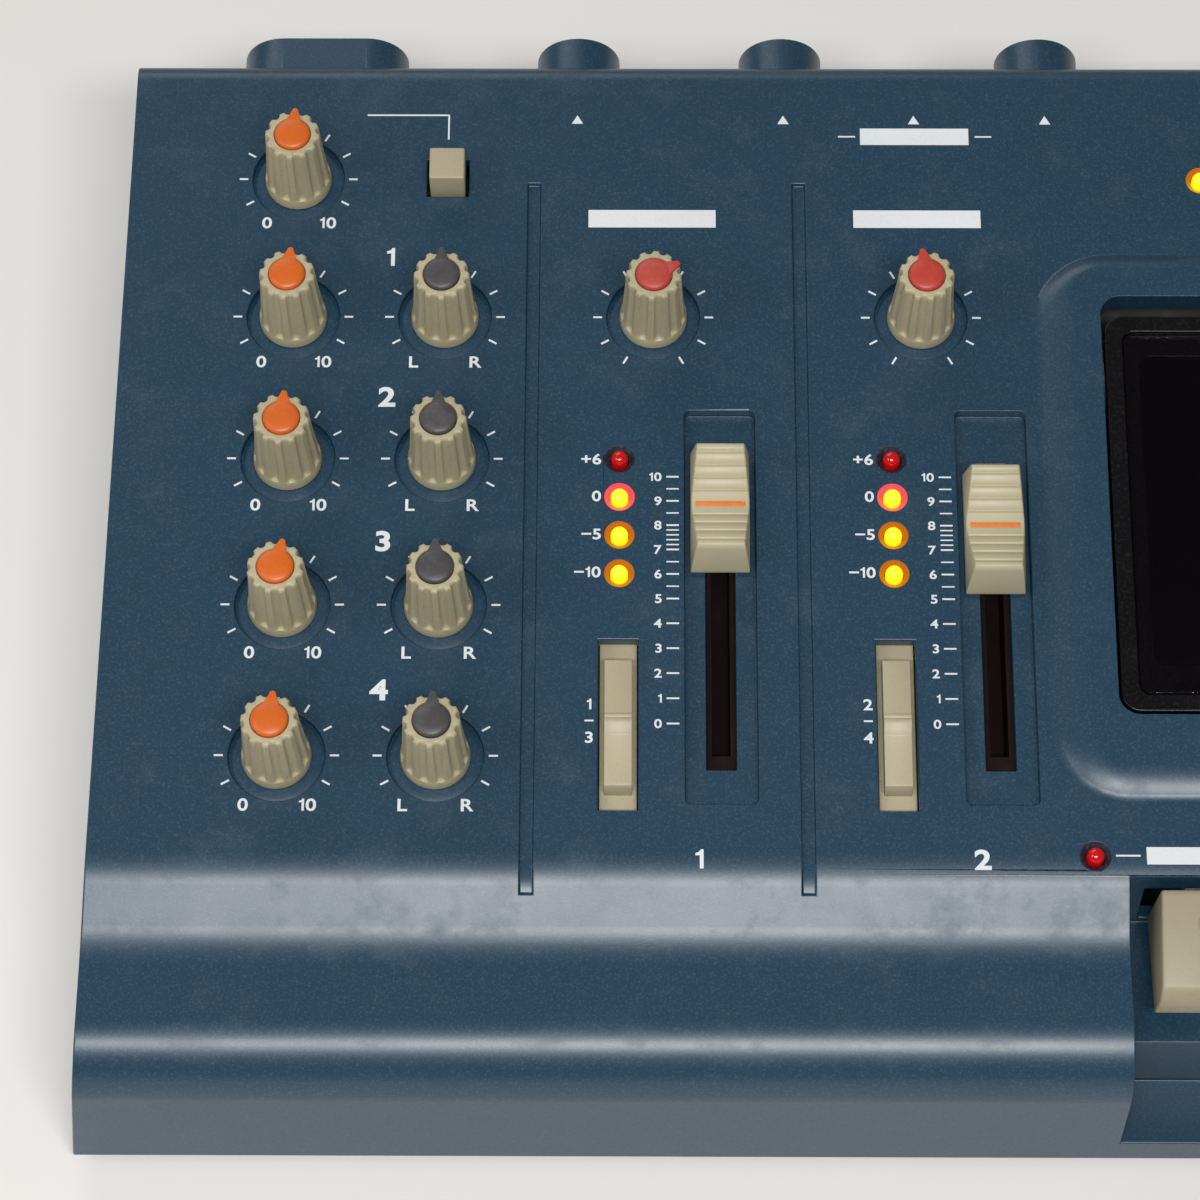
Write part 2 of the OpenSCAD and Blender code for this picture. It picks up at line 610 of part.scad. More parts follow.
// ---- knobs, faders, switches ----
module knob(x, y, angle, cap_colour) on_panel() translate([x, y, dish_floor + 0.2]) rotate(-angle) {
    top = knob_h - 0.9;
    lean = atan((knob_dia / 2 - 0.5 - knob_top_dia / 2) / (top - 2.8));
    color(beige) difference() {
        rotate_extrude() polygon([
            [0, 0], [knob_dia / 2, 0], [knob_dia / 2, 1], [knob_dia / 2 - 0.5, 2.2],
            [knob_top_dia / 2, top - 0.6], [knob_top_dia / 2 - 0.6, top], [0, top]]);
        peg(0, 0, -1, knob_h - 4.5, shaft_dia + 0.2);
        peg(0, 0, top - 1.2, knob_h, cap_dia);
        for (i = [0:11]) rotate(i * 30 + 15) translate([knob_dia / 2 - 0.5 + 0.35, 0, 2.6])
            rotate([0, -lean, 0]) cylinder(h = knob_h, d = 1.7);
    }
    color(cap_colour) translate([0, 0, top + cap_gap]) union() {
        rotate_extrude() polygon(concat([[0, -1.2], [cap_dia / 2 - cap_gap, -1.2]],
            [for (a = [0:15:75]) [cos(a) * (cap_dia / 2 - cap_gap), sin(a) * 0.9]], [[0, 0.9]]));
        linear_extrude(0.6) polygon([
            [-1.3, 2.4], [1.3, 2.4], [0.6, 3.9], [0.6, pointer_tip], [-0.6, pointer_tip], [-0.6, 3.9]]);
    }
}
cap_gap = 0.05;
pointer_tip = knob_top_dia / 2 + 0.2;
module phones_knob() knob(level_x, row_y(0), phones_angle, orange);
module level_knob(i) knob(level_x, row_y(i), level_angles[i - 1], orange);
module pan_knob(i) knob(level_x + pan_dx, row_y(i), pan_angles[i - 1], charcoal);
module trim_knob(i) knob(strip_x(i) + trim_dx, row_y(1), trim_angles[i - 1], red);

function fader_rest(i) = fader_y + (fader_marks[i - 1] - 5) * fader_step;
fader_cap_z = -fader_recess_depth + 1;
module fader_cap(i) on_panel() translate([strip_x(i) + fader_dx, fader_rest(i), 0]) {
    w = fader_recess_w / 2 - 1;
    l = fader_cap_l / 2;
    top = fader_cap_z + fader_cap_h;
    ridge = l - 1.9;
    waist = top - saddle_depth;
    color(cream) union() {
        intersection() {
            translate([-w, 0, 0]) rotate([90, 0, 90]) linear_extrude(2 * w) polygon([
                [-l, fader_cap_z], [l, fader_cap_z], [ridge + 0.3, top - 0.6], [ridge, top],
                [0.7, waist], [-0.7, waist], [-ridge, top], [-ridge - 0.3, top - 0.6]]);
            translate([0, l, 0]) rotate([90, 0, 0]) linear_extrude(2 * l) polygon([
                [-w, fader_cap_z], [w, fader_cap_z], [w - 0.1, waist],
                [w - 1, top], [1 - w, top], [0.1 - w, waist]]);
        }
        block([-0.7, -2, fader_slide_z - 4.5], [0.7, 2, fader_cap_z + 1]);
    }
}
module rec_switch(i) color(beige) on_panel() translate([strip_x(i) + switch_dx, switch_y, 0]) {
    half = switch_l / 2 + switch_step + 0.8;
    w = (switch_w - 0.8) / 2;
    block([-w - 0.2, -half, switch_plate_z], [w + 0.2, half, switch_plate_z + plate_t]);
    block([1 - w, -switch_l / 2 + switch_step + 0.6, switch_plate_z + plate_t], [w - 1, -1.4, 0.6]);
    block([1 - w, 1.4, switch_plate_z + plate_t], [w - 1, switch_l / 2 - switch_step - 0.6, 0.6]);
    block([-w + 0.2, -1.4, switch_plate_z + plate_t], [w - 0.2, 1.4, 1.2]);
}
module mono_button() color(beige) on_panel() translate([button_x, button_y, 0]) {
    w = (button_w - 1.2) / 2;
    block([-w, -w, -wall - 1], [w, w, button_h - 0.6]);
    block([0.4 - w, 0.4 - w, button_h - 0.6], [w - 0.4, w - 0.4, button_h]);
}

// ---- connectors ----
module jack_sockets() color(charcoal) in_case() for (i = [0:3]) difference() {
    tip = (i == flush_jack ? rear_y : overall_d) - 0.4;
    union() {
        block([jack_xs[i] - jack_w / 2, tip - jack_depth - 2, boss_z - jack_h / 2],
            [jack_xs[i] + jack_w / 2, rear_y - wall, boss_z + jack_h / 2]);
        rod_y(jack_xs[i], rear_y - wall - 1, tip, boss_z, nose_dia);
    }
    rod_y(jack_xs[i], tip - jack_depth, tip + 1, boss_z, jack_bore);
}
phono_sleeve = 8.3;
module phono_sockets() color(steel) in_case() for (s = [-0.5, 0.5]) difference() {
    x = phono_x + s * phono_pitch;
    union() {
        block([x - 6, rear_y - wall - 9, boss_z - 5], [x + 6, rear_y - wall, boss_z + 5]);
        rod_y(x, rear_y - wall - 1, overall_d - 1, boss_z, phono_sleeve);
    }
    rod_y(x, rear_y - wall, overall_d, boss_z, phono_bore);
}
module dc_socket() color(charcoal) in_case() {
    difference() {
        union() {
            block([dc_x - 5.5, rear_y - wall - 12, dc_z - 5.5], [dc_x + 5.5, rear_y - wall, dc_z + 5.5]);
            rod_y(dc_x, rear_y - wall - 1, rear_y - 0.3, dc_z, dc_dia);
        }
        rod_y(dc_x, rear_y - wall - 8, rear_y, dc_z, 5.7);
    }
    rod_y(dc_x, rear_y - wall - 9, rear_y - 1.2, dc_z, 2);
}
module power_slider() color(charcoal) in_case() {
    w = power_slot[1] / 2 - fit_gap;
    block([power_x + 0.2, rear_y - wall - 3, dc_z - w], [power_x + 0.2 + power_knob, rear_y + 1.6, dc_z + w]);
    block([power_x - 7, rear_y - wall - 3, dc_z - 5], [power_x + 9, rear_y - wall - fit_gap, dc_z + 5]);
}

// ---- keys ----
function key_x(i) = recess_x + key_side + i * key_pitch;
module key(i) color(beige) in_case() difference() {
    union() {
        along_x(key_x(i), key_x(i) + key_w) polygon([
            [key_front, key_bottom], [key_rear, key_bottom - 1], [key_rear, key_top - 0.8],
            [key_rear - 0.8, key_top], [key_front + 1.6, key_top - key_fall + 0.4],
            [key_front, key_top - key_fall - 1.4]]);
        block([key_x(i) + (key_w - lever_w) / 2, key_rear - 2, rod_z - lever_h / 2],
            [key_x(i) + (key_w + lever_w) / 2, rod_y, rod_z + lever_h / 2]);
        rod_x(key_x(i) + (key_w - lever_w) / 2, key_x(i) + (key_w + lever_w) / 2, rod_y, rod_z, lever_h + 2);
    }
    rod_x(key_x(i) - 1, key_x(i) + key_w + 1, rod_y, rod_z, rod_dia + 0.2);
}
module key_rod() color(steel) in_case()
    rod_x(chassis_x - 0.6, chassis_x + chassis_w + 0.6, rod_y, rod_z, rod_dia);

// ---- deck ----
module deck_chassis() color(steel) difference() {
    union() {
        on_panel() block([chassis_x, chassis_y, chassis_z],
            [chassis_x + chassis_w, chassis_y + chassis_d, chassis_top]);
        on_panel() for (x = [chassis_x, chassis_x + chassis_w - chassis_t]) side_cheek(x);
        on_panel() motor_bracket();
        on_panel() for (p = [[-38, 0], [38, 0], [-38, 30], [38, 30]])
            peg(deck_cx + p[0], reel_y - 8 + p[1], chassis_top,
                cassette_top - edge_step - cassette_t - fit_gap, 4);
    }
    in_case() rod_x(chassis_x - 1, chassis_x + chassis_w + 1, rod_y, rod_z, rod_dia + 0.1);
    on_panel() {
        for (s = [-0.5, 0.5])
            peg(deck_cx + s * reel_pitch, reel_y, chassis_z - 1, chassis_top + 1, bearing_dia);
        peg(capstan_x, capstan_y, chassis_z - 9, chassis_top + 1, bearing_dia);
        for (p = chassis_posts) peg(p[0], p[1], chassis_z - 1, chassis_top + 1, screw_dia + 0.4);
        peg(motor_x, motor_y, motor_z, belt_z + 2, 9);
    }
}
bearing_dia = 4.2;
axle_dia = 4;
module side_cheek(x) translate([x, 0, 0]) rotate([90, 0, 90]) linear_extrude(chassis_t) polygon([
    [rod_y - front_d - 6, chassis_z], [rod_y - front_d - 6, chassis_top + 6],
    [rod_y - front_d + 4, chassis_top + 6],
    [chassis_y + 0.5, chassis_top - 0.1], [chassis_y + chassis_d - 12, chassis_top - 0.1],
    [chassis_y + chassis_d - 12, chassis_z - 6], [chassis_y + 4, chassis_z - 6]]);
module motor_bracket() {
    low = motor_z + motor_h;
    reach = motor_dia / 2 + 3;
    block([motor_x - reach, motor_y - 5, low], [motor_x + 5, motor_y + 5, low + chassis_t]);
    block([motor_x - 5, motor_y - 5, low], [motor_x + 5, motor_y + reach, low + chassis_t]);
    block([motor_x - reach, motor_y - 5, low], [motor_x - reach + chassis_t, motor_y + 5, chassis_z + 0.1]);
    block([motor_x - 5, motor_y + reach - chassis_t, low], [motor_x + 5, motor_y + reach, chassis_z + 0.1]);
}
module motor() color(steel) on_panel() {
    peg(motor_x, motor_y, motor_z, motor_z + motor_h, motor_dia);
    peg(motor_x, motor_y, motor_z + motor_h, motor_z + motor_h + 1.4, 8.6);
    peg(motor_x, motor_y, motor_z + motor_h + 1.4, belt_z + 2.4, 2);
}
module motor_pulley() color([0.8, 0.65, 0.3]) on_panel() translate([motor_x, motor_y, belt_z]) difference() {
    rotate_extrude() polygon([
        [0, -1.6], [pulley_dia / 2 + 1, -1.6], [pulley_dia / 2, -0.7], [pulley_dia / 2, 0.7],
        [pulley_dia / 2 + 1, 1.6], [0, 1.6]]);
    peg(0, 0, -2, 2, 2.1);
}
module drive_belt() color([0.15, 0.15, 0.15]) on_panel()
    translate([0, 0, belt_z - belt_t / 2]) linear_extrude(belt_t) difference() {
        belt_shape(fit_gap + belt_t);
        belt_shape(fit_gap);
    }
// straight runs that touch both round ends from outside
module belt_shape(grow) {
    a = [capstan_x, capstan_y];
    b = [motor_x, motor_y];
    ra = flywheel_dia / 2 + grow;
    rb = pulley_dia / 2 + grow;
    way = atan2(b[1] - a[1], b[0] - a[0]);
    lean = acos((ra - rb) / norm(b - a));
    ends = [for (s = [-1, 1]) [cos(way + s * lean), sin(way + s * lean)]];
    translate(a) circle(r = ra, $fn = 96);
    translate(b) circle(r = rb);
    polygon([a + ra * ends[0], b + rb * ends[0], b + rb * ends[1], a + ra * ends[1]]);
}
module flywheel() color([0.8, 0.65, 0.3]) on_panel() translate([capstan_x, capstan_y, 0]) union() {
    peg(0, 0, flywheel_z, flywheel_z + flywheel_t, flywheel_dia);
    peg(0, 0, flywheel_z + flywheel_t, chassis_z - 0.4, 8);
    peg(0, 0, chassis_z - 1, cassette_top - 2.4, capstan_dia);
}
module spindle(s) color(charcoal) on_panel() translate([deck_cx + s * reel_pitch / 2, reel_y, 0]) union() {
    peg(0, 0, chassis_z - 2.2, chassis_z - 0.4, 20);
    peg(0, 0, chassis_z - 1, chassis_top + 0.4, axle_dia);
    peg(0, 0, chassis_top + 0.4, chassis_top + 1.4, 9);
    peg(0, 0, chassis_top + 1, cassette_top - 3.4, spindle_dia);
    for (i = [0:2]) rotate(i * 120)
        block([0, -0.5, chassis_top + 3], [spindle_dia / 2 + 0.7, 0.5, cassette_top - 4.4]);
}
module hub(s, pack) color([0.9, 0.9, 0.88]) on_panel()
    translate([deck_cx + s * reel_pitch / 2, reel_y, 0]) union() {
        low = cassette_mid - cassette_t / 2 + shell_t + 0.5;
        high = cassette_mid + cassette_t / 2 - shell_t - 0.5;
        difference() {
            peg(0, 0, low, high, pack);
            peg(0, 0, low - 1, high + 1, hub_bore + 1);
        }
        for (i = [0:5]) rotate(i * 60 + 30)
            block([hub_bore / 2 - 0.3, -0.6, low], [hub_bore / 2 + 1.5, 0.6, high]);
    }
module cassette_shell() color([0.25, 0.15, 0.3]) on_panel() difference() {
    x0 = deck_cx - cassette_w / 2;
    half = cassette_t / 2;
    union() {
        round_box(x0, cassette_y, cassette_w, cassette_d, 2, cassette_mid - half, cassette_mid + half);
        block([deck_cx - edge_w / 2, cassette_y, cassette_bottom],
            [deck_cx + edge_w / 2, cassette_y + edge_d, cassette_top]);
    }
    block([x0 + shell_t, cassette_y + edge_d - 3, cassette_mid - half + shell_t],
        [x0 + cassette_w - shell_t, cassette_y + cassette_d - shell_t, cassette_mid + half - shell_t]);
    for (s = [-0.5, 0.5])
        peg(deck_cx + s * reel_pitch, reel_y, cassette_bottom, cassette_top, hub_bore + 1.6);
    for (w = [[-34, -19, 10.4], [-9, 9, 7], [19, 33, 12]]) block(
        [deck_cx + w[0], cassette_y - 1, cassette_bottom + shell_t],
        [deck_cx + w[1], cassette_y + w[2], cassette_top - shell_t]);
    for (s = [-1, 1])
        peg(deck_cx + s * (capstan_x - deck_cx), capstan_y, cassette_bottom - 1, cassette_top + 1, 6.4);
}
module lid_frame() color([0.08, 0.08, 0.09]) on_panel() difference() {
    x0 = lid_x + lid_clear;
    x1 = lid_x + lid_w - lid_clear;
    y0 = lid_y + lid_clear;
    y1 = lid_y + lid_d;
    union() {
        round_box(x0, y0, x1 - x0, y1 - y0, 3.2, lid_under, lid_rise);
        for (s = [-1, 1]) holder_rail(s);
        for (x = [x0 + 1, x1 - 4])
            block([x, hinge_y - 2.2, hinge_z - 2.2], [x + 3, hinge_y + 2.2, lid_under + 0.1]);
        rod_x(lid_x - 6, x0 + 2, hinge_y, hinge_z, pin_dia);
        rod_x(x1 - 2, lid_x + lid_w + 6, hinge_y, hinge_z, pin_dia);
    }
    round_box(x0 + 3, y0 + 3, x1 - x0 - 6, y1 - y0 - 6, 2, lid_rise - window_t, lid_rise + 1);
    round_box(x0 + 9, y0 + 9, x1 - x0 - 18, y1 - y0 - 16, 2, lid_under - 1, lid_rise + 1);
}
window_t = 1.5;
module holder_rail(s) {
    side = cassette_w / 2 + fit_gap;
    low = cassette_mid - cassette_t / 2 - fit_gap;
    x = deck_cx + s * (side + 0.7);
    block([x - 0.7, cassette_y + 16, low - 1], [x + 0.7, cassette_y + 58, lid_under + 0.1]);
    block([x - 0.7 - (s > 0 ? 3 : 0), cassette_y + 16, low - 1],
        [x + 0.7 + (s < 0 ? 3 : 0), cassette_y + 58, low]);
}
module lid_window() color([0.25, 0.2, 0.25, 0.5]) on_panel()
    round_box(lid_x + lid_clear + 3.15, lid_y + lid_clear + 3.15, lid_w - 2 * lid_clear - 6.3,
        lid_d - lid_clear - 6.3, 1.9, lid_rise - window_t, lid_rise);
module head_plate() color(steel) on_panel() difference() {
    union() {
        block([deck_cx - 36, chassis_y + 1, head_plate_z], [deck_cx + 38, cassette_y - 3, head_floor]);
        peg(capstan_x, roller_y, head_floor, head_floor + 9.6, 2);
    }
    for (x = [deck_cx - 28, deck_cx + 14])
        block([x - 1.3, chassis_y + 3, -far], [x + 1.3, chassis_y + 8, far]);
}
module tape_heads() color(steel) on_panel() {
    rest = cassette_y - head_reach;
    head(deck_cx, 12, 9, rest);
    head(deck_cx - 26.5, 9, 7, rest);
}
module head(x, w, d, tip) {
    inside = head_travel - head_reach + 0.6;       // the part that may enter the cassette
    block([x - w / 2, tip - d, head_floor], [x + w / 2, tip - inside, head_floor + head_h]);
    block([x - w / 2 + 1, tip - inside, head_floor + 2], [x + w / 2 - 1, tip, head_floor + head_h - 0.4]);
}
module pinch_roller() color([0.1, 0.1, 0.1]) on_panel()
    translate([capstan_x, roller_y, head_floor]) difference() {
        peg(0, 0, 2, head_h - 0.2, roller_dia);
        peg(0, 0, 0, 10, 2.2);
    }

// ---- counter ----
module counter_frame() color(charcoal) on_panel() difference() {
    w = wheel_count * (wheel_t + wheel_gap) / 2 + 0.4;
    union() {
        for (x = [counter_x - w - 1.4, counter_x + w])
            block([x, counter_y - 5, counter_axis_z - 5], [x + 1.4, counter_y + 5, -wall]);
        rod_x(counter_x - w - 1, counter_x + w + 1, counter_y, counter_axis_z, 2);
        block([counter_x - w - 1.4, counter_y - 8.5, counter_axis_z - 8.6],
            [counter_x + w + 1.4, counter_y + 8.5, counter_axis_z - 7.4]);
        for (x = [counter_x - w - 1.4, counter_x + w])
            block([x, counter_y - 5, counter_axis_z - 8], [x + 1.4, counter_y + 5, counter_axis_z - 4.9]);
    }
}
module counter_wheel(i) color([0.15, 0.15, 0.15]) on_panel() {
    x = counter_x + (i - 2) * (wheel_t + wheel_gap) - wheel_t / 2;
    difference() {
        rod_x(x, x + wheel_t, counter_y, counter_axis_z, wheel_dia);
        rod_x(x - 1, x + wheel_t + 1, counter_y, counter_axis_z, 2.2);
    }
}
module counter_reset() color(charcoal) on_panel() {
    peg(reset_x, counter_y, -wall - 0.2, 2.2, reset_dia);
    peg(reset_x, counter_y, -wall - 3, -wall - 0.2, reset_dia + 2.4);
}

top_case();
bottom_case();
main_board();
pot_bodies();
slide_pots();
switch_bodies();
jack_sockets();
phono_sockets();
dc_socket();
red_lamps();
amber_lamps();
deck_chassis();
motor();
drive_belt();
key_rod();
counter_frame();
feet();
case_screws();
inner_screws();
phones_knob();
level_knob(1);  // level_knob_1
level_knob(2);  // level_knob_2
level_knob(3);  // level_knob_3
level_knob(4);  // level_knob_4
pan_knob(1);  // pan_knob_1
pan_knob(2);  // pan_knob_2
pan_knob(3);  // pan_knob_3
pan_knob(4);  // pan_knob_4
trim_knob(1);  // trim_knob_1
trim_knob(2);  // trim_knob_2
fader_cap(1);  // fader_cap_1
fader_cap(2);  // fader_cap_2
rec_switch(1);  // rec_switch_1
rec_switch(2);  // rec_switch_2
mono_button();
key(0);  // rec_key
key(1);  // play_key
key(2);  // rewind_key
key(3);  // fast_forward_key
key(4);  // stop_eject_key
key(5);  // pause_key
lid_frame();
lid_window();
cassette_shell();
hub(-1, 38);  // supply_hub
hub(1, 28);  // take_up_hub
spindle(-1);  // supply_spindle
spindle(1);  // take_up_spindle
flywheel();
motor_pulley();
head_plate();
tape_heads();
pinch_roller();
counter_wheel(1);  // counter_wheel_1
counter_wheel(2);  // counter_wheel_2
counter_wheel(3);  // counter_wheel_3
counter_reset();
power_slider();
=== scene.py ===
import json
from math import cos, hypot, pi, radians, sin, sqrt
import bpy
from mathutils import Matrix, Vector


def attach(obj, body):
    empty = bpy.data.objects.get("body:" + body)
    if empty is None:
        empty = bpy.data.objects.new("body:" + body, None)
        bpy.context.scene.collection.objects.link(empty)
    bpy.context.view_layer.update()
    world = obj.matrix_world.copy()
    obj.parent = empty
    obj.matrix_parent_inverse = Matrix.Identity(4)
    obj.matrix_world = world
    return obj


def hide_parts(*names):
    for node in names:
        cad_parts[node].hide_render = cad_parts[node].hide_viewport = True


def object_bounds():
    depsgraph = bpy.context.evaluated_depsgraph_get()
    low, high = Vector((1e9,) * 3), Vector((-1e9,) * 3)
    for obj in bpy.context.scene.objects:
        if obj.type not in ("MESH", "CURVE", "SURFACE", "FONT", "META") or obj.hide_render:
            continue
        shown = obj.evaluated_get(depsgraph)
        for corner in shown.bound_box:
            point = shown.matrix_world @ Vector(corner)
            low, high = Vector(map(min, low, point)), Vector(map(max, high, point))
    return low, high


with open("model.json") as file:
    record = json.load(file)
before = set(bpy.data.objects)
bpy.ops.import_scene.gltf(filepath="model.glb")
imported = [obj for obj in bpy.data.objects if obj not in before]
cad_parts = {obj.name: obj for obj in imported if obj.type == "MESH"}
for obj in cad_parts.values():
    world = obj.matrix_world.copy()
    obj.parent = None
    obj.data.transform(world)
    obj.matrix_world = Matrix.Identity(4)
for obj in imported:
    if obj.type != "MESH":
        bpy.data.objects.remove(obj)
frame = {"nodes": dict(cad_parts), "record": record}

cad_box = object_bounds()
nodes = frame["nodes"]

# Camera: it looks down on the panel from in front, as a hand-held camera would.
# The lens is long, so the case narrows only a little towards the rear.
lens = bpy.data.cameras.new("camera")
lens.lens = 125.6
lens.sensor_width = 36
camera = bpy.data.objects.new("camera", lens)
front_y = cad_box[0][1]    # the case's front, from which the camera's and the panel's places are counted
camera.location = (-0.06177, front_y - 0.25534, 0.65996)
camera.rotation_euler = (radians(28.82), radians(0.274), radians(0.305))
bpy.context.scene.collection.objects.link(camera)
bpy.context.scene.camera = camera
bpy.context.scene.view_settings.view_transform = "Standard"

# Studio: a pale room with three soft lamps. The one in front and above draws the bands of light
# along the case's bends. A low one behind and one at the left soften the knobs' shadows.
world = bpy.data.worlds.new("studio")
bpy.context.scene.world = world
world.use_nodes = True
world.node_tree.nodes["Background"].inputs["Color"].default_value = (1, 0.99, 0.97, 1)
world.node_tree.nodes["Background"].inputs["Strength"].default_value = 0.16


def soft_lamp(name, place, target, size, watts):
    lamp = bpy.data.lights.new(name, "AREA")
    lamp.shape = "RECTANGLE"
    lamp.size, lamp.size_y = size
    lamp.energy = watts
    holder = bpy.data.objects.new(name, lamp)
    holder.location = place
    holder.rotation_euler = (Vector(target) - Vector(place)).to_track_quat("-Z", "Y").to_euler()
    bpy.context.scene.collection.objects.link(holder)


soft_lamp("front_lamp", (-0.02, -0.63, 1.12), (-0.03, -0.05, 0.03), (0.75, 0.17), 12)
soft_lamp("rear_lamp", (-0.5, 1.2, 0.85), (0, 0, 0.03), (1.1, 0.7), 4)
soft_lamp("left_lamp", (-0.9, -0.3, 0.9), (0, 0, 0.05), (0.5, 0.5), 2.5)


def deselect():
    bpy.ops.object.select_all(action="DESELECT")


def srgb(r, g, b):
    def channel(c):
        c /= 255
        return c / 12.92 if c <= 0.04045 else ((c + 0.055) / 1.055) ** 2.4
    return (channel(r), channel(g), channel(b), 1.0)


# Floor: a plain pale table top a hair under the feet, with the case's soft shadow on it.
deselect()
bpy.ops.mesh.primitive_plane_add(size=6, location=(0, 0, -0.0003))
floor = bpy.context.object
floor.name = "floor"
table = bpy.data.materials.new("table_top")
table.use_nodes = True
table_shader = table.node_tree.nodes["Principled BSDF"]
table_shader.inputs["Base Color"].default_value = srgb(236, 234, 230)
table_shader.inputs["Roughness"].default_value = 0.75
floor.data.materials.append(table)

# Surface of every finish: the grain of moulded, sprayed or worked material, with its slight
# unevenness of tone and of gloss, and settled dust. Each finish places it with its own values.


def add_node(tree, kind, **settings):
    node = tree.nodes.new(kind)
    for key, value in settings.items():
        setattr(node, key, value)
    return node


def new_group(name, ins, outs):
    group = bpy.data.node_groups.new(name, "ShaderNodeTree")
    for label, kind, value in ins:
        socket = group.interface.new_socket(label, in_out="INPUT", socket_type=kind)
        socket.default_value = value
    for label, kind in outs:
        group.interface.new_socket(label, in_out="OUTPUT", socket_type=kind)
    return group, group.nodes.new("NodeGroupInput"), group.nodes.new("NodeGroupOutput")


def noise(tree, scale, detail, rough, source):
    node = add_node(tree, "ShaderNodeTexNoise")
    node.inputs["Detail"].default_value = detail
    node.inputs["Roughness"].default_value = rough
    if isinstance(scale, (int, float)):
        node.inputs["Scale"].default_value = scale
    else:
        tree.links.new(scale, node.inputs["Scale"])
    tree.links.new(source, node.inputs["Vector"])
    return node.outputs["Fac"]


def maths(tree, operation, *values, clamp=False):
    node = add_node(tree, "ShaderNodeMath", operation=operation, use_clamp=clamp)
    for socket, value in zip(node.inputs, values):
        if isinstance(value, (int, float)):
            socket.default_value = value
        else:
            tree.links.new(value, socket)
    return node.outputs[0]


def spread(tree, value, low, high, to_low=0.0, to_high=1.0):
    node = add_node(tree, "ShaderNodeMapRange")
    tree.links.new(value, node.inputs["Value"])
    node.inputs["From Min"].default_value = low
    node.inputs["From Max"].default_value = high
    node.inputs["To Min"].default_value = to_low
    node.inputs["To Max"].default_value = to_high
    return node.outputs["Result"]


COLOUR_A, COLOUR_B, COLOUR_OUT = 6, 7, 2    # a Mix node's sockets for colours, which share their names


def mixed(tree, factor, one, two):
    node = add_node(tree, "ShaderNodeMix", data_type="RGBA")
    for socket, value in ((0, factor), (COLOUR_A, one), (COLOUR_B, two)):
        if isinstance(value, tuple):
            node.inputs[socket].default_value = value
        else:
            tree.links.new(value, node.inputs[socket])
    return node.outputs[COLOUR_OUT]


grain, grain_in, grain_out = new_group(
    "plastic_grain",
    [("Colour", "NodeSocketColor", (0.5, 0.5, 0.5, 1)), ("Roughness", "NodeSocketFloat", 0.45),
     ("Unevenness", "NodeSocketFloat", 0.1), ("Grain scale", "NodeSocketFloat", 1500.0),
     ("Speckle", "NodeSocketFloat", 0.1), ("Speckle colour", "NodeSocketColor", (0.8, 0.8, 0.8, 1)),
     ("Dust", "NodeSocketFloat", 0.1)],
    [("Colour", "NodeSocketColor"), ("Roughness", "NodeSocketFloat"), ("Height", "NodeSocketFloat")])
where = add_node(grain, "ShaderNodeTexCoord").outputs["Object"]
cloud = noise(grain, 28, 3, 0.6, where)
fine = noise(grain, grain_in.outputs["Grain scale"], 2, 0.5, where)
tone = maths(grain, "MULTIPLY", spread(grain, cloud, 0.3, 0.7, -1, 1), grain_in.outputs["Unevenness"])
shade = maths(grain, "ADD", 1.0, tone)
bright = add_node(grain, "ShaderNodeVectorMath", operation="SCALE")
grain.links.new(grain_in.outputs["Colour"], bright.inputs[0])
grain.links.new(shade, bright.inputs["Scale"])
flecks = maths(grain, "MULTIPLY", spread(grain, fine, 0.5, 0.72), grain_in.outputs["Speckle"], clamp=True)
specked = mixed(grain, flecks, bright.outputs[0], grain_in.outputs["Speckle colour"])
up = add_node(grain, "ShaderNodeSeparateXYZ")
grain.links.new(add_node(grain, "ShaderNodeNewGeometry").outputs["Normal"], up.inputs[0])
settled = maths(grain, "MULTIPLY", spread(grain, noise(grain, 90, 4, 0.7, where), 0.52, 0.8),
                spread(grain, up.outputs["Z"], 0.6, 1.0), clamp=True)
dust_share = maths(grain, "MULTIPLY", settled, grain_in.outputs["Dust"])
grain.links.new(mixed(grain, dust_share, specked, (0.55, 0.54, 0.5, 1)), grain_out.inputs["Colour"])
gloss_shift = spread(grain, noise(grain, 160, 3, 0.6, where), 0.3, 0.7, -0.012, 0.014)
rough = maths(grain, "ADD", grain_in.outputs["Roughness"], gloss_shift)
dulled = maths(grain, "MULTIPLY", settled, 0.15)
grain.links.new(maths(grain, "ADD", rough, dulled), grain_out.inputs["Roughness"])
grain.links.new(fine, grain_out.inputs["Height"])


def plastic(name, colour, rough=0.45, uneven=0.06, scale=1500.0, speckle=0.05, fleck=(0.8, 0.8, 0.78, 1),
            dust=0.08, depth=0.00003, bump=0.25, metal=0.0, coat=0.0, coat_rough=0.15, gloss=0.5):
    material = bpy.data.materials.new(name)
    material.use_nodes = True
    tree = material.node_tree
    shader = tree.nodes["Principled BSDF"]
    surface = add_node(tree, "ShaderNodeGroup", node_tree=grain)
    values = {"Colour": colour, "Roughness": rough, "Unevenness": uneven, "Grain scale": scale,
              "Speckle": speckle, "Speckle colour": fleck, "Dust": dust}
    for label, value in values.items():
        surface.inputs[label].default_value = value
    tree.links.new(surface.outputs["Colour"], shader.inputs["Base Color"])
    tree.links.new(surface.outputs["Roughness"], shader.inputs["Roughness"])
    relief = add_node(tree, "ShaderNodeBump")
    relief.inputs["Strength"].default_value = bump
    relief.inputs["Distance"].default_value = depth
    tree.links.new(surface.outputs["Height"], relief.inputs["Height"])
    tree.links.new(relief.outputs["Normal"], shader.inputs["Normal"])
    shader.inputs["Metallic"].default_value = metal
    shader.inputs["Coat Weight"].default_value = coat
    shader.inputs["Coat Roughness"].default_value = coat_rough
    shader.inputs["Specular IOR Level"].default_value = gloss
    return material


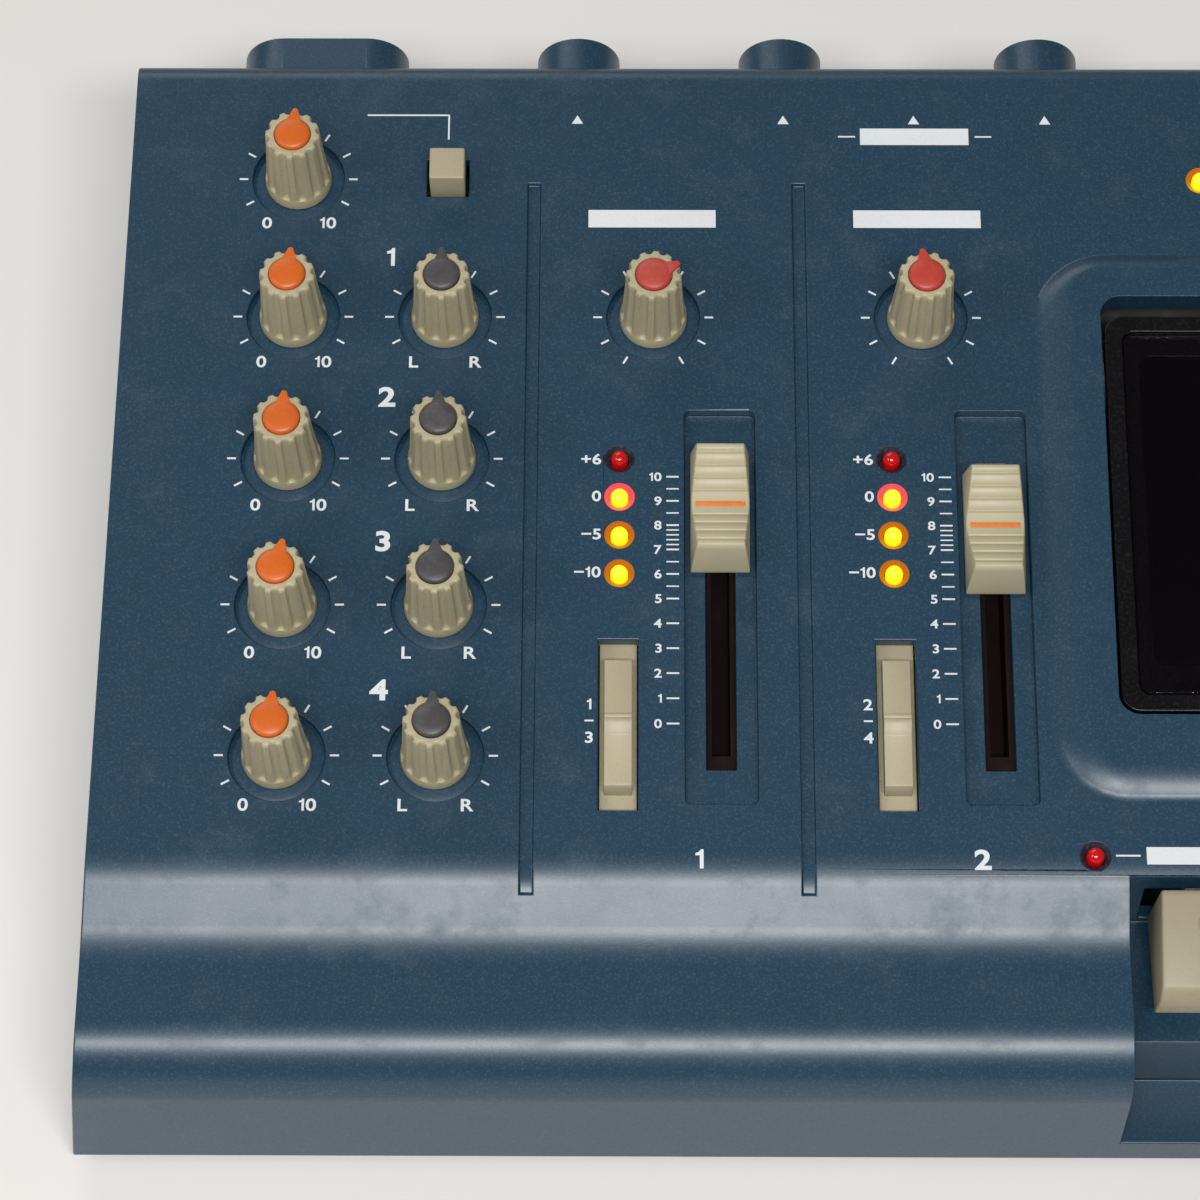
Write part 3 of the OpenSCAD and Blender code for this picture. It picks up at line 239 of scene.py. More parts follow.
# Top case: one injection-moulded shell in slate blue, sprayed with a fine pale speckle. All edges
# are broken by the mould, and the plateau round the cassette lid falls off in a soft slope.
PANEL_LEFT = -0.150                                     # left side of the panel, in metres
PANEL_FRONT, PANEL_HEIGHT, PANEL_SLOPE = 34, 43.9, 5    # its front edge in millimetres, and degrees
# CASE and PANEL turn millimetres on the case and on the panel into the frame's metres. On the
# panel, x runs to the right, b to the rear and n outwards.
CASE = Matrix.Translation((PANEL_LEFT, front_y, 0)) @ Matrix.Scale(0.001, 4)
PANEL = (CASE @ Matrix.Translation((0, PANEL_FRONT, PANEL_HEIGHT))
         @ Matrix.Rotation(radians(PANEL_SLOPE), 4, "X"))


def placed(piece, matrix=PANEL):
    """Puts a piece's place into its mesh. Unless told otherwise, it is in millimetres on the panel."""
    piece.data.transform(matrix @ piece.matrix_world)
    piece.matrix_world = Matrix()
    return piece


def only(piece):
    deselect()
    piece.select_set(True)
    bpy.context.view_layer.objects.active = piece


def finish(piece, name, material, body="root", smooth=30, replaces=()):
    only(piece)
    bpy.ops.object.shade_smooth_by_angle(angle=radians(smooth))
    piece.name = piece.data.name = name
    piece.data.materials.clear()
    piece.data.materials.append(material)
    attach(piece, body)
    if replaces:
        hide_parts(*replaces)


SHARP_ANGLE = 32    # degrees: edges less sharp than this are round surfaces


def broken_edges(piece, width, segments=2, angle=SHARP_ANGLE):
    only(piece)
    bevel = piece.modifiers.new("mould_radius", "BEVEL")
    bevel.width = width
    bevel.segments = segments
    bevel.limit_method = "ANGLE"
    bevel.angle_limit = radians(angle)
    bevel.use_clamp_overlap = False
    bpy.ops.object.modifier_apply(modifier=bevel.name)


def even_shading(piece):
    only(piece)
    bpy.ops.object.shade_smooth_by_angle(angle=radians(SHARP_ANGLE))
    weighted = piece.modifiers.new("flat_faces_first", "WEIGHTED_NORMAL")
    weighted.keep_sharp = True
    weighted.weight = 100
    bpy.ops.object.modifier_apply(modifier=weighted.name)


def merged_copy(node):
    """A copy of a CAD node's mesh with its loose triangles joined to whole faces."""
    piece = nodes[node].copy()
    piece.data = piece.data.copy()
    piece.parent = None
    piece.matrix_world = Matrix()
    bpy.context.scene.collection.objects.link(piece)
    only(piece)
    bpy.ops.object.mode_set(mode="EDIT")
    bpy.ops.mesh.select_all(action="SELECT")
    bpy.ops.mesh.remove_doubles(threshold=0.000002)
    bpy.ops.mesh.dissolve_limited(angle_limit=radians(0.3))
    bpy.ops.object.mode_set(mode="OBJECT")
    return piece


slate = plastic("slate_paint", srgb(21, 58, 80), rough=0.36, uneven=0.02, scale=2400, speckle=0.2,
                fleck=srgb(98, 120, 138), dust=0.012, bump=0.2, gloss=0.7)
top_case = merged_copy("top_case")
broken_edges(top_case, 0.0003)
even_shading(top_case)
top_case.name = top_case.data.name = "sprayed_top_case"
top_case.data.materials.clear()
top_case.data.materials.append(slate)
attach(top_case, "root")
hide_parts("top_case")

# Panel printing: white silk-screen ink. Rings of ticks round the knobs, fader scales, meter and
# track numbers, arrows towards the rear sockets, and bare white plates; there is no wording.
INK_DEPTH = 0.024
ink = plastic("white_ink", srgb(226, 230, 232), rough=0.5, uneven=0.05, scale=2200, speckle=0.1,
              fleck=srgb(150, 160, 170), dust=0, bump=0.1)
prints = []


def edit_all():
    bpy.ops.object.mode_set(mode="EDIT")
    bpy.ops.mesh.select_all(action="SELECT")


def outline_block(points, depth):
    """A flat outline in X and Y, drawn up along Z."""
    deselect()
    bpy.ops.mesh.primitive_circle_add(vertices=len(points), radius=1, fill_type="NGON")
    piece = bpy.context.object
    for v, (x, y) in zip(piece.data.vertices, points):
        v.co = (x, y, 0)
    edit_all()
    bpy.ops.mesh.extrude_region_move(TRANSFORM_OT_translate={"value": (0, 0, depth)})
    bpy.ops.mesh.select_all(action="SELECT")
    bpy.ops.mesh.normals_make_consistent(inside=False)
    bpy.ops.object.mode_set(mode="OBJECT")
    return placed(piece, Matrix())


def bar(x, b, w, l, turn=0.0):
    """A printed bar: its middle across and along the panel, its width and its length."""
    deselect()
    bpy.ops.mesh.primitive_cube_add(size=1, location=(x, b, INK_DEPTH / 2), rotation=(0, 0, radians(turn)),
                                    scale=(w, l, INK_DEPTH))
    prints.append(placed(bpy.context.object))


CAPITAL, GAP = 0.7, 0.13    # a figure's height in the typeface's size, and the space after it
BROADER = 1.18              # the figures are broader than the typeface draws them
# outline of the digit one, in heights of the figure
ONE = ((0.25, 0), (0.44, 0), (0.44, 1), (0.3, 1), (0.22, 0.87), (0.04, 0.81), (0.04, 0.68), (0.25, 0.7))


def character(mark, height, bold):
    """One printed figure with its left foot at the origin, and how wide it is."""
    if mark == "1":
        piece = outline_block([(x * height, y * height) for x, y in ONE], INK_DEPTH)
    else:
        deselect()
        bpy.ops.object.text_add(location=(0, 0, INK_DEPTH / 2))
        label = bpy.context.object
        label.data.body = mark
        label.data.size = height / CAPITAL
        label.data.offset = bold * height
        label.data.extrude = INK_DEPTH / 2
        label.data.resolution_u = 4
        bpy.ops.object.convert(target="MESH")
        piece = placed(bpy.context.object, Matrix.Scale(BROADER, 4, (1, 0, 0)))
    reach = [v.co.x for v in piece.data.vertices]
    piece.data.transform(Matrix.Translation((-min(reach), 0, 0)))
    return piece, max(reach) - min(reach)


def figure(text, x, b, height, align="CENTER", bold=0.03):
    marks = [character(mark, height, bold) for mark in text]
    gap = GAP * height
    length = sum(width for piece, width in marks) + gap * (len(marks) - 1)
    pen = x - length * (1 if align == "RIGHT" else 0.5)
    for piece, width in marks:
        prints.append(placed(piece, PANEL @ Matrix.Translation((pen, b - height / 2, 0))))
        pen += width + gap


def arrow(x, b):
    deselect()
    bpy.ops.mesh.primitive_cylinder_add(vertices=3, radius=1.15, depth=INK_DEPTH,
                                        location=(x, b - 0.2, INK_DEPTH / 2))
    prints.append(placed(bpy.context.object))


TICK_REACH = 9.55    # from a knob's middle to its ticks


def tick(x, b, turn):
    bar(x + TICK_REACH * sin(radians(turn)), b + TICK_REACH * cos(radians(turn)), 0.34, 1.5, -turn)


ROWS = [127.7, 100.65, 73.6, 46.55, 19.5]     # the knobs' rows, from the rear to the front
LEVEL_X, PAN_X = 30.5, 56.6                   # the level and pan knobs' columns
STRIPS = [71.7, 117.7]                        # left sides of the two input strips
TRIM_X = 20.7                                 # a strip's trim knob, from its left side
FINE_LINE = 0.3
dials = [(LEVEL_X, b, "0", "10") for b in ROWS] + [(PAN_X, b, "L", "R") for b in ROWS[1:]]
dials += [(x + TRIM_X, ROWS[1], "", "") for x in STRIPS]
for x, b, low, high in dials:
    for turn in range(-120, 121, 30):
        tick(x, b, turn)
    if low:
        figure(low, x - 5.2, b - 8.65, 2.1)
        figure(high, x + 5.4, b - 8.65, 2.1)
    else:
        for turn in (-150, 150):
            tick(x, b, turn)
for k in range(4):
    figure(str(k + 1), 47.0, ROWS[k + 1] + 11.7, 3.5, bold=0.045)

METER_TEXT_X, SCALE_TEXT_X, SCALE_X, SWITCH_TEXT_X = 11.9, 22.1, 23.95, 10.1
SCALE_ZERO, SCALE_STEP = 25.3, 4.5            # the fader scale's nought, and from one mark to the next
for strip, x in enumerate(STRIPS):
    for label, b in (("+6", 73.6), ("0", 66.7), ("−5", 59.65), ("−10", 52.65)):
        figure(label, x + METER_TEXT_X, b, 1.9, "RIGHT")
    for mark in range(11):
        b = SCALE_ZERO + SCALE_STEP * mark
        figure(str(mark), x + SCALE_TEXT_X, b, 1.55, "RIGHT")
        bar(x + SCALE_X, b, 2.1, FINE_LINE)
    for mark in (9.5, 8.5, 7.8, 7.6, 7.4, 7.2, 6.5, 5.5):
        bar(x + SCALE_X, SCALE_ZERO + SCALE_STEP * mark, 2.1, 0.24)
    figure(str(strip + 1), x + SWITCH_TEXT_X, 28.75, 1.9)
    figure(str(strip + 3), x + SWITCH_TEXT_X, 22.85, 1.9)
    bar(x + SWITCH_TEXT_X, 25.8, 1.5, FINE_LINE)
    figure(str(strip + 1), x + 28.2, 1.6, 3.3, bold=0.045)
    bar(x + 20.5, 119.95, 22.1, 3.45)

for x in (79.1, 115.2, 138.1, 161.1):         # over the jacks
    arrow(x, 139.7)
bar(138.15, 136.4, 19, 3.3)                   # bare plate at the flush jack, between two dashes
bar(126.3, 136.4, 3, FINE_LINE)
bar(150.2, 136.4, 2.9, FINE_LINE)
bar(49.4, 140.6, 14.4, FINE_LINE)             # line from the phones knob to the square button
bar(56.55, 138.2, FINE_LINE, 5)
bar(169.5, 2.35, 4, FINE_LINE)                # dash and bare plate over the keys
bar(195.6, 2.35, 46.2, 3.0)
deselect()
for piece in prints:
    piece.select_set(True)
bpy.context.view_layer.objects.active = prints[0]
bpy.ops.object.join()
finish(bpy.context.object, "panel_printing", ink)

# Knobs: fluted khaki skirts moulded in satin plastic, pushed onto the pot shafts. Each carries a
# second-colour domed cap with a raised pointer: orange, dark grey or red.
FLUTES = 12
FLUTE_RADIUS, FLUTE_INSET = 0.8, 0.24     # a flute's round cutter, and how far out its centre stands
FLUTE_FOOT, FOOT_RUN = 2.3, 0.75          # where the flutes end above the panel, and their rounded ends
KNOB_SEAT = -0.5                          # foot of a knob, in its dish


def turned(rings, count):
    """A closed turned shape: a disc drawn up ring by ring, each (radius, height)."""
    reach, height = rings[0]
    deselect()
    bpy.ops.mesh.primitive_circle_add(vertices=count, radius=reach, location=(0, 0, height), fill_type="NGON")
    edit_all()
    for r, z in rings[1:]:
        bpy.ops.mesh.extrude_region_move(TRANSFORM_OT_translate={"value": (0, 0, z - height)})
        bpy.ops.transform.resize(value=(r / reach, r / reach, 1))
        reach, height = r, z
    bpy.ops.mesh.select_all(action="SELECT")
    bpy.ops.mesh.normals_make_consistent(inside=False)
    bpy.ops.object.mode_set(mode="OBJECT")
    return placed(bpy.context.object, Matrix())


def spaced(piece, matrix):
    """A copy of a finished shape with its own mesh, put in its place."""
    twin = piece.copy()
    twin.data = piece.data.copy()
    bpy.context.scene.collection.objects.link(twin)
    return placed(twin, matrix)


def at(x, b, n=0.0, turn=0.0):
    """A place on the panel: across, along and over it, and turned clockwise."""
    return PANEL @ Matrix.Translation((x, b, n)) @ Matrix.Rotation(radians(-turn), 4, "Z")


skirt_side = [(5.62, 0.0), (5.78, 0.15), (5.8, 0.5), (5.76, 1.2), (5.66, 1.9), (5.56, 2.3), (5.52, 2.5),
              (5.49, 2.7), (5.46, 2.95), (5.43, 3.25), (5.36, 4.0), (5.2, 6.2), (5.04, 8.6), (4.9, 11.0),
              (4.78, 13.4), (4.72, 15.2), (4.66, 15.75), (4.5, 16.0), (4.3, 16.1), (3.24, 16.1),
              (3.17, 16.0), (3.15, 15.3)]
skirt = turned(skirt_side, FLUTES * 16)
for v in skirt.data.vertices:
    r, z = hypot(v.co.x, v.co.y), v.co.z
    if z < FLUTE_FOOT or r < 4:
        continue
    step = 2 * pi / FLUTES
    angle = (Vector((v.co.x, v.co.y)).angle_signed(Vector((0, 1))) + pi) % step - step / 2
    cut = max(0.0, sqrt(max(0.0, FLUTE_RADIUS ** 2 - (r * angle) ** 2)) - FLUTE_INSET)
    ramp = min(1.0, (z - FLUTE_FOOT) / FOOT_RUN)
    fall = cut * sqrt(1 - (1 - ramp) ** 2)
    v.co.x *= 1 - fall / r
    v.co.y *= 1 - fall / r
dome_side = [(3.05, 15.32), (3.05, 16.15), (3.0, 16.38), (2.84, 16.57), (2.45, 16.75), (1.7, 16.9),
             (0.85, 16.98), (0.3, 17.0)]
dome = turned(dome_side, 64)
deselect()
bpy.ops.mesh.primitive_cylinder_add(vertices=32, radius=0.55, depth=0.72, location=(0, 4.3, 16.3))
pointer = placed(bpy.context.object, Matrix())
for v in pointer.data.vertices:    # its inner half widens towards the dome, so the pointer is a drop
    if v.co.y < 4.25:
        v.co.x *= 2.3
        v.co.y = 2.6 - (4.25 - v.co.y)
broken_edges(pointer, 0.12, 3)
only(dome)
pointer.select_set(True)
bpy.ops.object.join()
khaki = plastic("khaki_plastic", srgb(184, 174, 141), rough=0.4, uneven=0.08, scale=1900, speckle=0.22,
                fleck=srgb(140, 126, 92), dust=0.06, bump=0.3)
cap_finish = {
    "orange": plastic("orange_cap", srgb(214, 100, 26), rough=0.38, uneven=0.05, speckle=0.12,
                      fleck=srgb(226, 138, 70), dust=0.04),
    "grey": plastic("grey_cap", srgb(72, 70, 71), rough=0.42, uneven=0.06, speckle=0.12,
                    fleck=srgb(120, 120, 122), dust=0.15),
    "red": plastic("red_cap", srgb(186, 62, 50), rough=0.4, uneven=0.05, speckle=0.1,
                   fleck=srgb(230, 120, 100), dust=0.12)}
LEVEL_TURNS, PAN_TURNS, TRIM_TURNS = (7, 5, 14, 6), (0, 0, 0, 3), (65, -8)    # how each knob is set
knobs = [("phones_knob", LEVEL_X, ROWS[0], 5, "orange")]
knobs += [(f"level_knob_{i + 1}", LEVEL_X, ROWS[i + 1], turn, "orange") for i, turn in enumerate(LEVEL_TURNS)]
knobs += [(f"pan_knob_{i + 1}", PAN_X, ROWS[i + 1], turn, "grey") for i, turn in enumerate(PAN_TURNS)]
knobs += [(f"trim_knob_{i + 1}", STRIPS[i] + TRIM_X, ROWS[1], turn, "red")
          for i, turn in enumerate(TRIM_TURNS)]
for node, x, b, turn, colour in knobs:
    seat = at(x, b, KNOB_SEAT, turn)
    finish(spaced(skirt, seat), node + "_skirt", khaki, node, 40, (node,))
    finish(spaced(dome, seat), node + "_cap", cap_finish[colour], node, 40)
bpy.data.objects.remove(skirt)
bpy.data.objects.remove(dome)

# Fader caps: cream plastic pushed onto the sliders' stems. Two ramps fall from the end ridges to a
# waist with an orange line, and fine ribs across the ramps give the finger grip.
cream = plastic("cream_plastic", srgb(190, 181, 150), rough=0.42, uneven=0.04, scale=1800, speckle=0.12,
                fleck=srgb(170, 160, 128), dust=0.03, bump=0.2)
line_orange = plastic("orange_line", srgb(232, 128, 48), rough=0.4, uneven=0.05, speckle=0.1, dust=0)
# stands an outline up, so that its X runs along the panel, its Y up, and its depth across
SIDE = Matrix(((0, 0, 1, 0), (1, 0, 0, 0), (0, 1, 0, 0), (0, 0, 0, 1)))


def rounded_outline(x0, y0, x1, y1, r, steps=6):
    points = []
    corners = ((x1 - r, y0 + r, -90), (x1 - r, y1 - r, 0), (x0 + r, y1 - r, 90), (x0 + r, y0 + r, 180))
    for cx, cy, start in corners:
        for k in range(steps + 1):
            a = radians(start + 90 * k / steps)
            points.append((cx + r * cos(a), cy + r * sin(a)))
    return points


CAP_LOW, CAP_TOP, CAP_WAIST = -1.2, 6.8, 2.8
RAMP_START, RAMP_RUN = 0.7, 8.3           # a ramp begins beside the line and ends at the ridge
FOOT_HALF, WAIST_HALF = 5, 4.85           # half the cap's width at its foot and at its waist
FADER_X, FADER_MIDDLE = 31.95, 47.8       # the slot's middle, across the strip and along the panel
FADER_MARKS = (8.6, 7.75)                 # where the caps stand on their scales
ramp_rise = (CAP_TOP - CAP_WAIST) / RAMP_RUN
half = [(11, CAP_LOW), (10.95, -0.4), (9.75, 5.7), (9.55, 6.35), (9.25, 6.7), (8.95, CAP_TOP)]
for rib in (8.05, 6.1, 4.2, 2.3):
    z = CAP_WAIST + (rib - RAMP_START) * ramp_rise
    half += [(rib + 0.2, z + 0.09), (rib + 0.08, z - 0.16), (rib - 0.12, z - 0.2), (rib - 0.24, z - 0.09)]
half += [(RAMP_START, CAP_WAIST)]
fader_cap = outline_block(half + [(-y, z) for y, z in reversed(half)], 10)
placed(fader_cap, SIDE)
for v in fader_cap.data.vertices:
    if v.co.z < CAP_WAIST:
        width = FOOT_HALF - 0.15 * max(0, v.co.z - CAP_LOW) / 4
    else:
        width = WAIST_HALF - 0.9 * (v.co.z - CAP_WAIST) / 4
    v.co.x = width if v.co.x > 5 else -width
broken_edges(fader_cap, 0.22, 2, 50)
deselect()
bpy.ops.mesh.primitive_cube_add(size=1, location=(0, 0, CAP_WAIST + 0.02), scale=(8.4, 0.95, 0.1))
cap_line = placed(bpy.context.object, Matrix())
broken_edges(cap_line, 0.03)
deselect()
bpy.ops.mesh.primitive_cube_add(size=1, location=(0, 0, -4.6), scale=(1.4, 4, 7.8))
stem = placed(bpy.context.object, Matrix())
broken_edges(stem, 0.15)
only(fader_cap)
stem.select_set(True)
bpy.ops.object.join()
for i, (x, mark) in enumerate(zip(STRIPS, FADER_MARKS)):
    rest = at(x + FADER_X, FADER_MIDDLE + (mark - 5) * SCALE_STEP)
    node = f"fader_cap_{i + 1}"
    finish(spaced(fader_cap, rest), node + "_grip", cream, node, 40, (node,))
    finish(spaced(cap_line, rest), node + "_line", line_orange, node, 30)
bpy.data.objects.remove(fader_cap)
bpy.data.objects.remove(cap_line)

# Record function switches and the square button: beige plastic. A switch's finger bar rides on a
# flat plate that closes its window, with two stepped ribs at its middle.
beige = plastic("beige_plastic", srgb(180, 170, 141), rough=0.42, uneven=0.06, scale=1800, speckle=0.14,
                fleck=srgb(148, 138, 108), dust=0.05, bump=0.25)
plate = outline_block(rounded_outline(-3.1, -18.95, 3.1, 18.95, 0.5), 1)
placed(plate, Matrix.Translation((0, 0, -3.8)))
SWITCH_X, SWITCH_MIDDLE = 14.9, 25.2
bar_side = [(-11.6, -2.8), (-11.35, -0.2), (-11.0, 0.45), (-10.5, 0.6), (-2.3, 0.6), (-2.05, 0.75),
            (-0.35, 1.75), (0.1, 1.8), (0.4, 1.7), (0.55, 1.25), (0.8, 1.15), (1.1, 1.3), (1.4, 1.25),
            (1.55, 0.75), (1.9, 0.6), (11.0, 0.6), (11.4, 0.35), (11.6, -2.8)]
finger = outline_block(bar_side, 4.6)
placed(finger, Matrix.Translation((-2.3, 0, 0)) @ SIDE)
broken_edges(finger, 0.15, 2, 50)
broken_edges(plate, 0.1)
only(plate)
finger.select_set(True)
bpy.ops.object.join()
for i, x in enumerate(STRIPS):
    node = f"rec_switch_{i + 1}"
    finish(spaced(plate, at(x + SWITCH_X, SWITCH_MIDDLE)), node + "_bar", beige, node, 40, (node,))
bpy.data.objects.remove(plate)
deselect()
bpy.ops.mesh.primitive_cube_add(size=1, location=(PAN_X, 128, 0.95), scale=(6.1, 6.1, 8.9))
button = placed(bpy.context.object, Matrix())
broken_edges(button, 0.35, 3)
placed(button)
finish(button, "mono_button_top", beige, "mono_button", 30, ("mono_button",))

# Lamps: 3 mm domed lamps in countersunk holes. The lit ones have a bright core, and a collar over
# their countersink carries their light as a painted glow. The unlit red ones show their dyed lens,
# and their collar carries painted shade.
METER_X, METER_FRONT, METER_STEP = 15, 52.4, 7.06
LAMP_SEAT = -0.15


def lens_of(name, colour, glow, strength):
    material = plastic(name, colour, rough=0.15, uneven=0.03, speckle=0, dust=0, bump=0, coat=0.4)
    shader = material.node_tree.nodes["Principled BSDF"]
    shader.inputs["Emission Color"].default_value = glow
    shader.inputs["Emission Strength"].default_value = strength
    return material


dark_red = lens_of("red_lens", srgb(196, 8, 10), srgb(255, 0, 0), 0.05)
lit_core = lens_of("lit_core", srgb(255, 222, 40), srgb(255, 226, 20), 0.85)
# painted light: the lit lamps' glow on their countersinks, given as emission on a collar
painted_amber_light = lens_of("amber_painted_glow", srgb(150, 74, 22), srgb(240, 120, 0), 0.16)
painted_pink_light = lens_of("pink_painted_glow", srgb(220, 50, 70), srgb(255, 40, 80), 0.75)
# painted shade: the dark of an unlit lamp's countersink, laid on its collar as a dark colour
painted_countersink_shade = plastic("painted_shade_ring", srgb(34, 36, 48), rough=0.5, speckle=0.05)
lamp = turned([(1.5, -5.5), (1.5, -0.1), (1.46, 0.25), (1.3, 0.75), (1.0, 1.15), (0.6, 1.4), (0.2, 1.5)], 40)


def ring_of(rings, count):
    """A turned ring: its end discs come off, and its first and last edge are joined."""
    piece = turned(rings, count)
    only(piece)
    bpy.ops.object.mode_set(mode="EDIT")
    bpy.ops.mesh.select_mode(type="FACE")
    bpy.ops.mesh.select_all(action="DESELECT")
    bpy.ops.object.mode_set(mode="OBJECT")
    for face in piece.data.polygons:
        face.select = len(face.vertices) > 4
    bpy.ops.object.mode_set(mode="EDIT")
    bpy.ops.mesh.delete(type="ONLY_FACE")
    bpy.ops.mesh.select_mode(type="EDGE")
    bpy.ops.mesh.select_all(action="DESELECT")
    bpy.ops.mesh.select_non_manifold(extend=False)
    bpy.ops.mesh.bridge_edge_loops()
    bpy.ops.mesh.select_mode(type="VERT")
    bpy.ops.mesh.select_all(action="SELECT")
    bpy.ops.mesh.normals_make_consistent(inside=False)
    bpy.ops.object.mode_set(mode="OBJECT")
    return piece


# the collar over each countersink carries painted light: a glow round lit lamps, painted shade round unlit
# ones
painted_light_collar = ring_of([(1.66, -1.05), (2.56, -0.02), (2.5, 0.03), (1.62, -0.9)], 48)
meter = [("amber_lamps", lit_core, painted_amber_light), ("amber_lamps", lit_core, painted_amber_light),
         ("red_lamps", lit_core, painted_pink_light), ("red_lamps", dark_red, painted_countersink_shade)]
lamps = [(x + METER_X, METER_FRONT + METER_STEP * k, *meter[k]) for x in STRIPS for k in range(4)]
lamps += [(164.2, 2.25, "red_lamps", dark_red, painted_countersink_shade),
          (187.8, 127.7, "amber_lamps", lit_core, painted_amber_light)]
stood_for = set()
for k, (x, b, node, core, ring) in enumerate(lamps):
    hidden = () if node in stood_for else (node,)
    stood_for.add(node)
    finish(spaced(lamp, at(x, b, LAMP_SEAT)), f"lamp_{k + 1}", core, "root", 40, hidden)
    finish(spaced(painted_light_collar, at(x, b)), f"lamp_{k + 1}_collar", ring, "root", 40)
bpy.data.objects.remove(lamp)
bpy.data.objects.remove(painted_light_collar)

# Piano keys: six beige keys with drafted sides and a chamfered front, side by side on one steel
# rod. Each carries its usual engraved sign, such as the ring for record.
KEY_X, KEY_PITCH, KEY_W = 173.6, 17.5, 16.9
KEY_FOOT, KEY_DRAFT = 31.5, 1.15          # where the sides' draft begins, and how much it takes in 10 mm
key_side = [(13.8, 32.0), (31.4, 31.0), (31.4, 41.6), (31.1, 42.15), (30.5, 42.5), (16.0, 39.05),
            (15.1, 38.55), (14.4, 37.6), (13.85, 36.2)]
key_blank = outline_block(key_side, KEY_W)
placed(key_blank, SIDE)
for v in key_blank.data.vertices:
    side = -1 if v.co.x > KEY_W / 2 else 1
    v.co.x += side * KEY_DRAFT * max(0.0, (v.co.z - KEY_FOOT) / 10)
broken_edges(key_blank, 0.45, 3, 40)
deselect()
bpy.ops.mesh.primitive_cube_add(size=1, location=(KEY_W / 2, 37.5, 33), scale=(5, 17, 6))
lever = placed(bpy.context.object, Matrix())
broken_edges(lever, 0.2)
deselect()
bpy.ops.mesh.primitive_cylinder_add(vertices=40, radius=4, depth=5, location=(KEY_W / 2, 46, 33),
                                    rotation=(0, pi / 2, 0))
eye = placed(bpy.context.object, Matrix())
broken_edges(eye, 0.2)
only(key_blank)
lever.select_set(True)
eye.select_set(True)
bpy.ops.object.join()
key_beige = plastic("key_plastic", srgb(160, 150, 124), rough=0.45, uneven=0.05, scale=1800, speckle=0.14,
                    fleck=srgb(134, 124, 98), dust=0.04, bump=0.25)
keys = ["rec_key", "play_key", "rewind_key", "fast_forward_key", "stop_eject_key", "pause_key"]
for i, node in enumerate(keys):
    moved = CASE @ Matrix.Translation((KEY_X + i * KEY_PITCH, 0, 0))
    finish(spaced(key_blank, moved), node + "_top", key_beige, node, 40, (node,))
bpy.data.objects.remove(key_blank)
engraving = plastic("engraved_mark", srgb(150, 140, 108), rough=0.6, uneven=0.05, speckle=0.05)
tilt = CASE @ Matrix.Translation((KEY_X + KEY_W / 2, 25.6, 41.36)) @ Matrix.Rotation(radians(13.4), 4, "X")


def key_mark(i, outlines):
    parts = [outline_block(outline, 0.05) for outline in outlines]
    only(parts[0])
    for part in parts[1:]:
        part.select_set(True)
    if len(parts) > 1:
        bpy.ops.object.join()
    placed(parts[0], Matrix.Translation((i * KEY_PITCH / 1000, 0, 0)) @ tilt)
    finish(parts[0], keys[i] + "_mark", engraving, keys[i], 40)


def triangle(x, way):
    return [(x - 1.1 * way, -1.4), (x + 1.3 * way, 0), (x - 1.1 * way, 1.4)]


def box(x0, y0, x1, y1):
    return [(x0, y0), (x1, y0), (x1, y1), (x0, y1)]


deselect()
bpy.ops.mesh.primitive_torus_add(major_radius=1.5, minor_radius=0.09, major_segments=48, minor_segments=8)
ring = placed(bpy.context.object, tilt)
finish(ring, "rec_key_mark", engraving, "rec_key", 60)
key_mark(1, [triangle(0, 1)])
key_mark(2, [triangle(-1.3, -1), triangle(1.2, -1)])
key_mark(3, [triangle(-1.2, 1), triangle(1.3, 1)])
key_mark(4, [box(-3.4, -1.2, -1, 1.2), box(1, -1.2, 3.4, -0.5), [(1, 0.1), (3.4, 0.1), (2.2, 1.3)]])
key_mark(5, [box(-1.1, -1.3, -0.3, 1.3), box(0.3, -1.3, 1.1, 1.3)])

# Cassette lid: a satin black frame on two hinge pins with a smoked window let in flush. The window
# is clear enough to show something of the cassette that the frame's rails hold.
satin_black = plastic("satin_black_plastic", srgb(9, 7, 10), rough=0.24, uneven=0.05, scale=1900,
                      speckle=0.01, dust=0, bump=0.02, gloss=0.35)
LID_RISE = 2.0                                # how far the lid's top stands over the panel
RAILS_TOP = LID_RISE - 3.1                    # below this the frame is the cassette's rails
LEDGE = ((178.5, 175.4), (273.1, 276.2))      # the window's ledge: each side, and its slimmer place
lid_frame = merged_copy("lid_frame")
to_panel = PANEL.inverted()
for v in lid_frame.data.vertices:
    spot = to_panel @ v.co
    for old, new in LEDGE:
        if abs(spot.x - old) < 2.1 and 34 < spot.y < 95 and spot.z > RAILS_TOP:
            spot.x += new - old
            v.co = PANEL @ spot
            break
broken_edges(lid_frame, 0.0003, 3)
even_shading(lid_frame)
finish(lid_frame, "lid_surround", satin_black, "lid", SHARP_ANGLE, ("lid_frame",))
smoke = plastic("smoked_window", srgb(8, 4, 9), rough=0.05, uneven=0.05, scale=400, speckle=0, dust=0,
                bump=0.02, gloss=0.3)
smoke.node_tree.nodes["Principled BSDF"].inputs["Alpha"].default_value = 0.36
window = merged_copy("lid_window")
broken_edges(window, 0.0003, 3)
even_shading(window)
finish(window, "lid_smoked_window", smoke, "lid", SHARP_ANGLE, ("lid_window",))

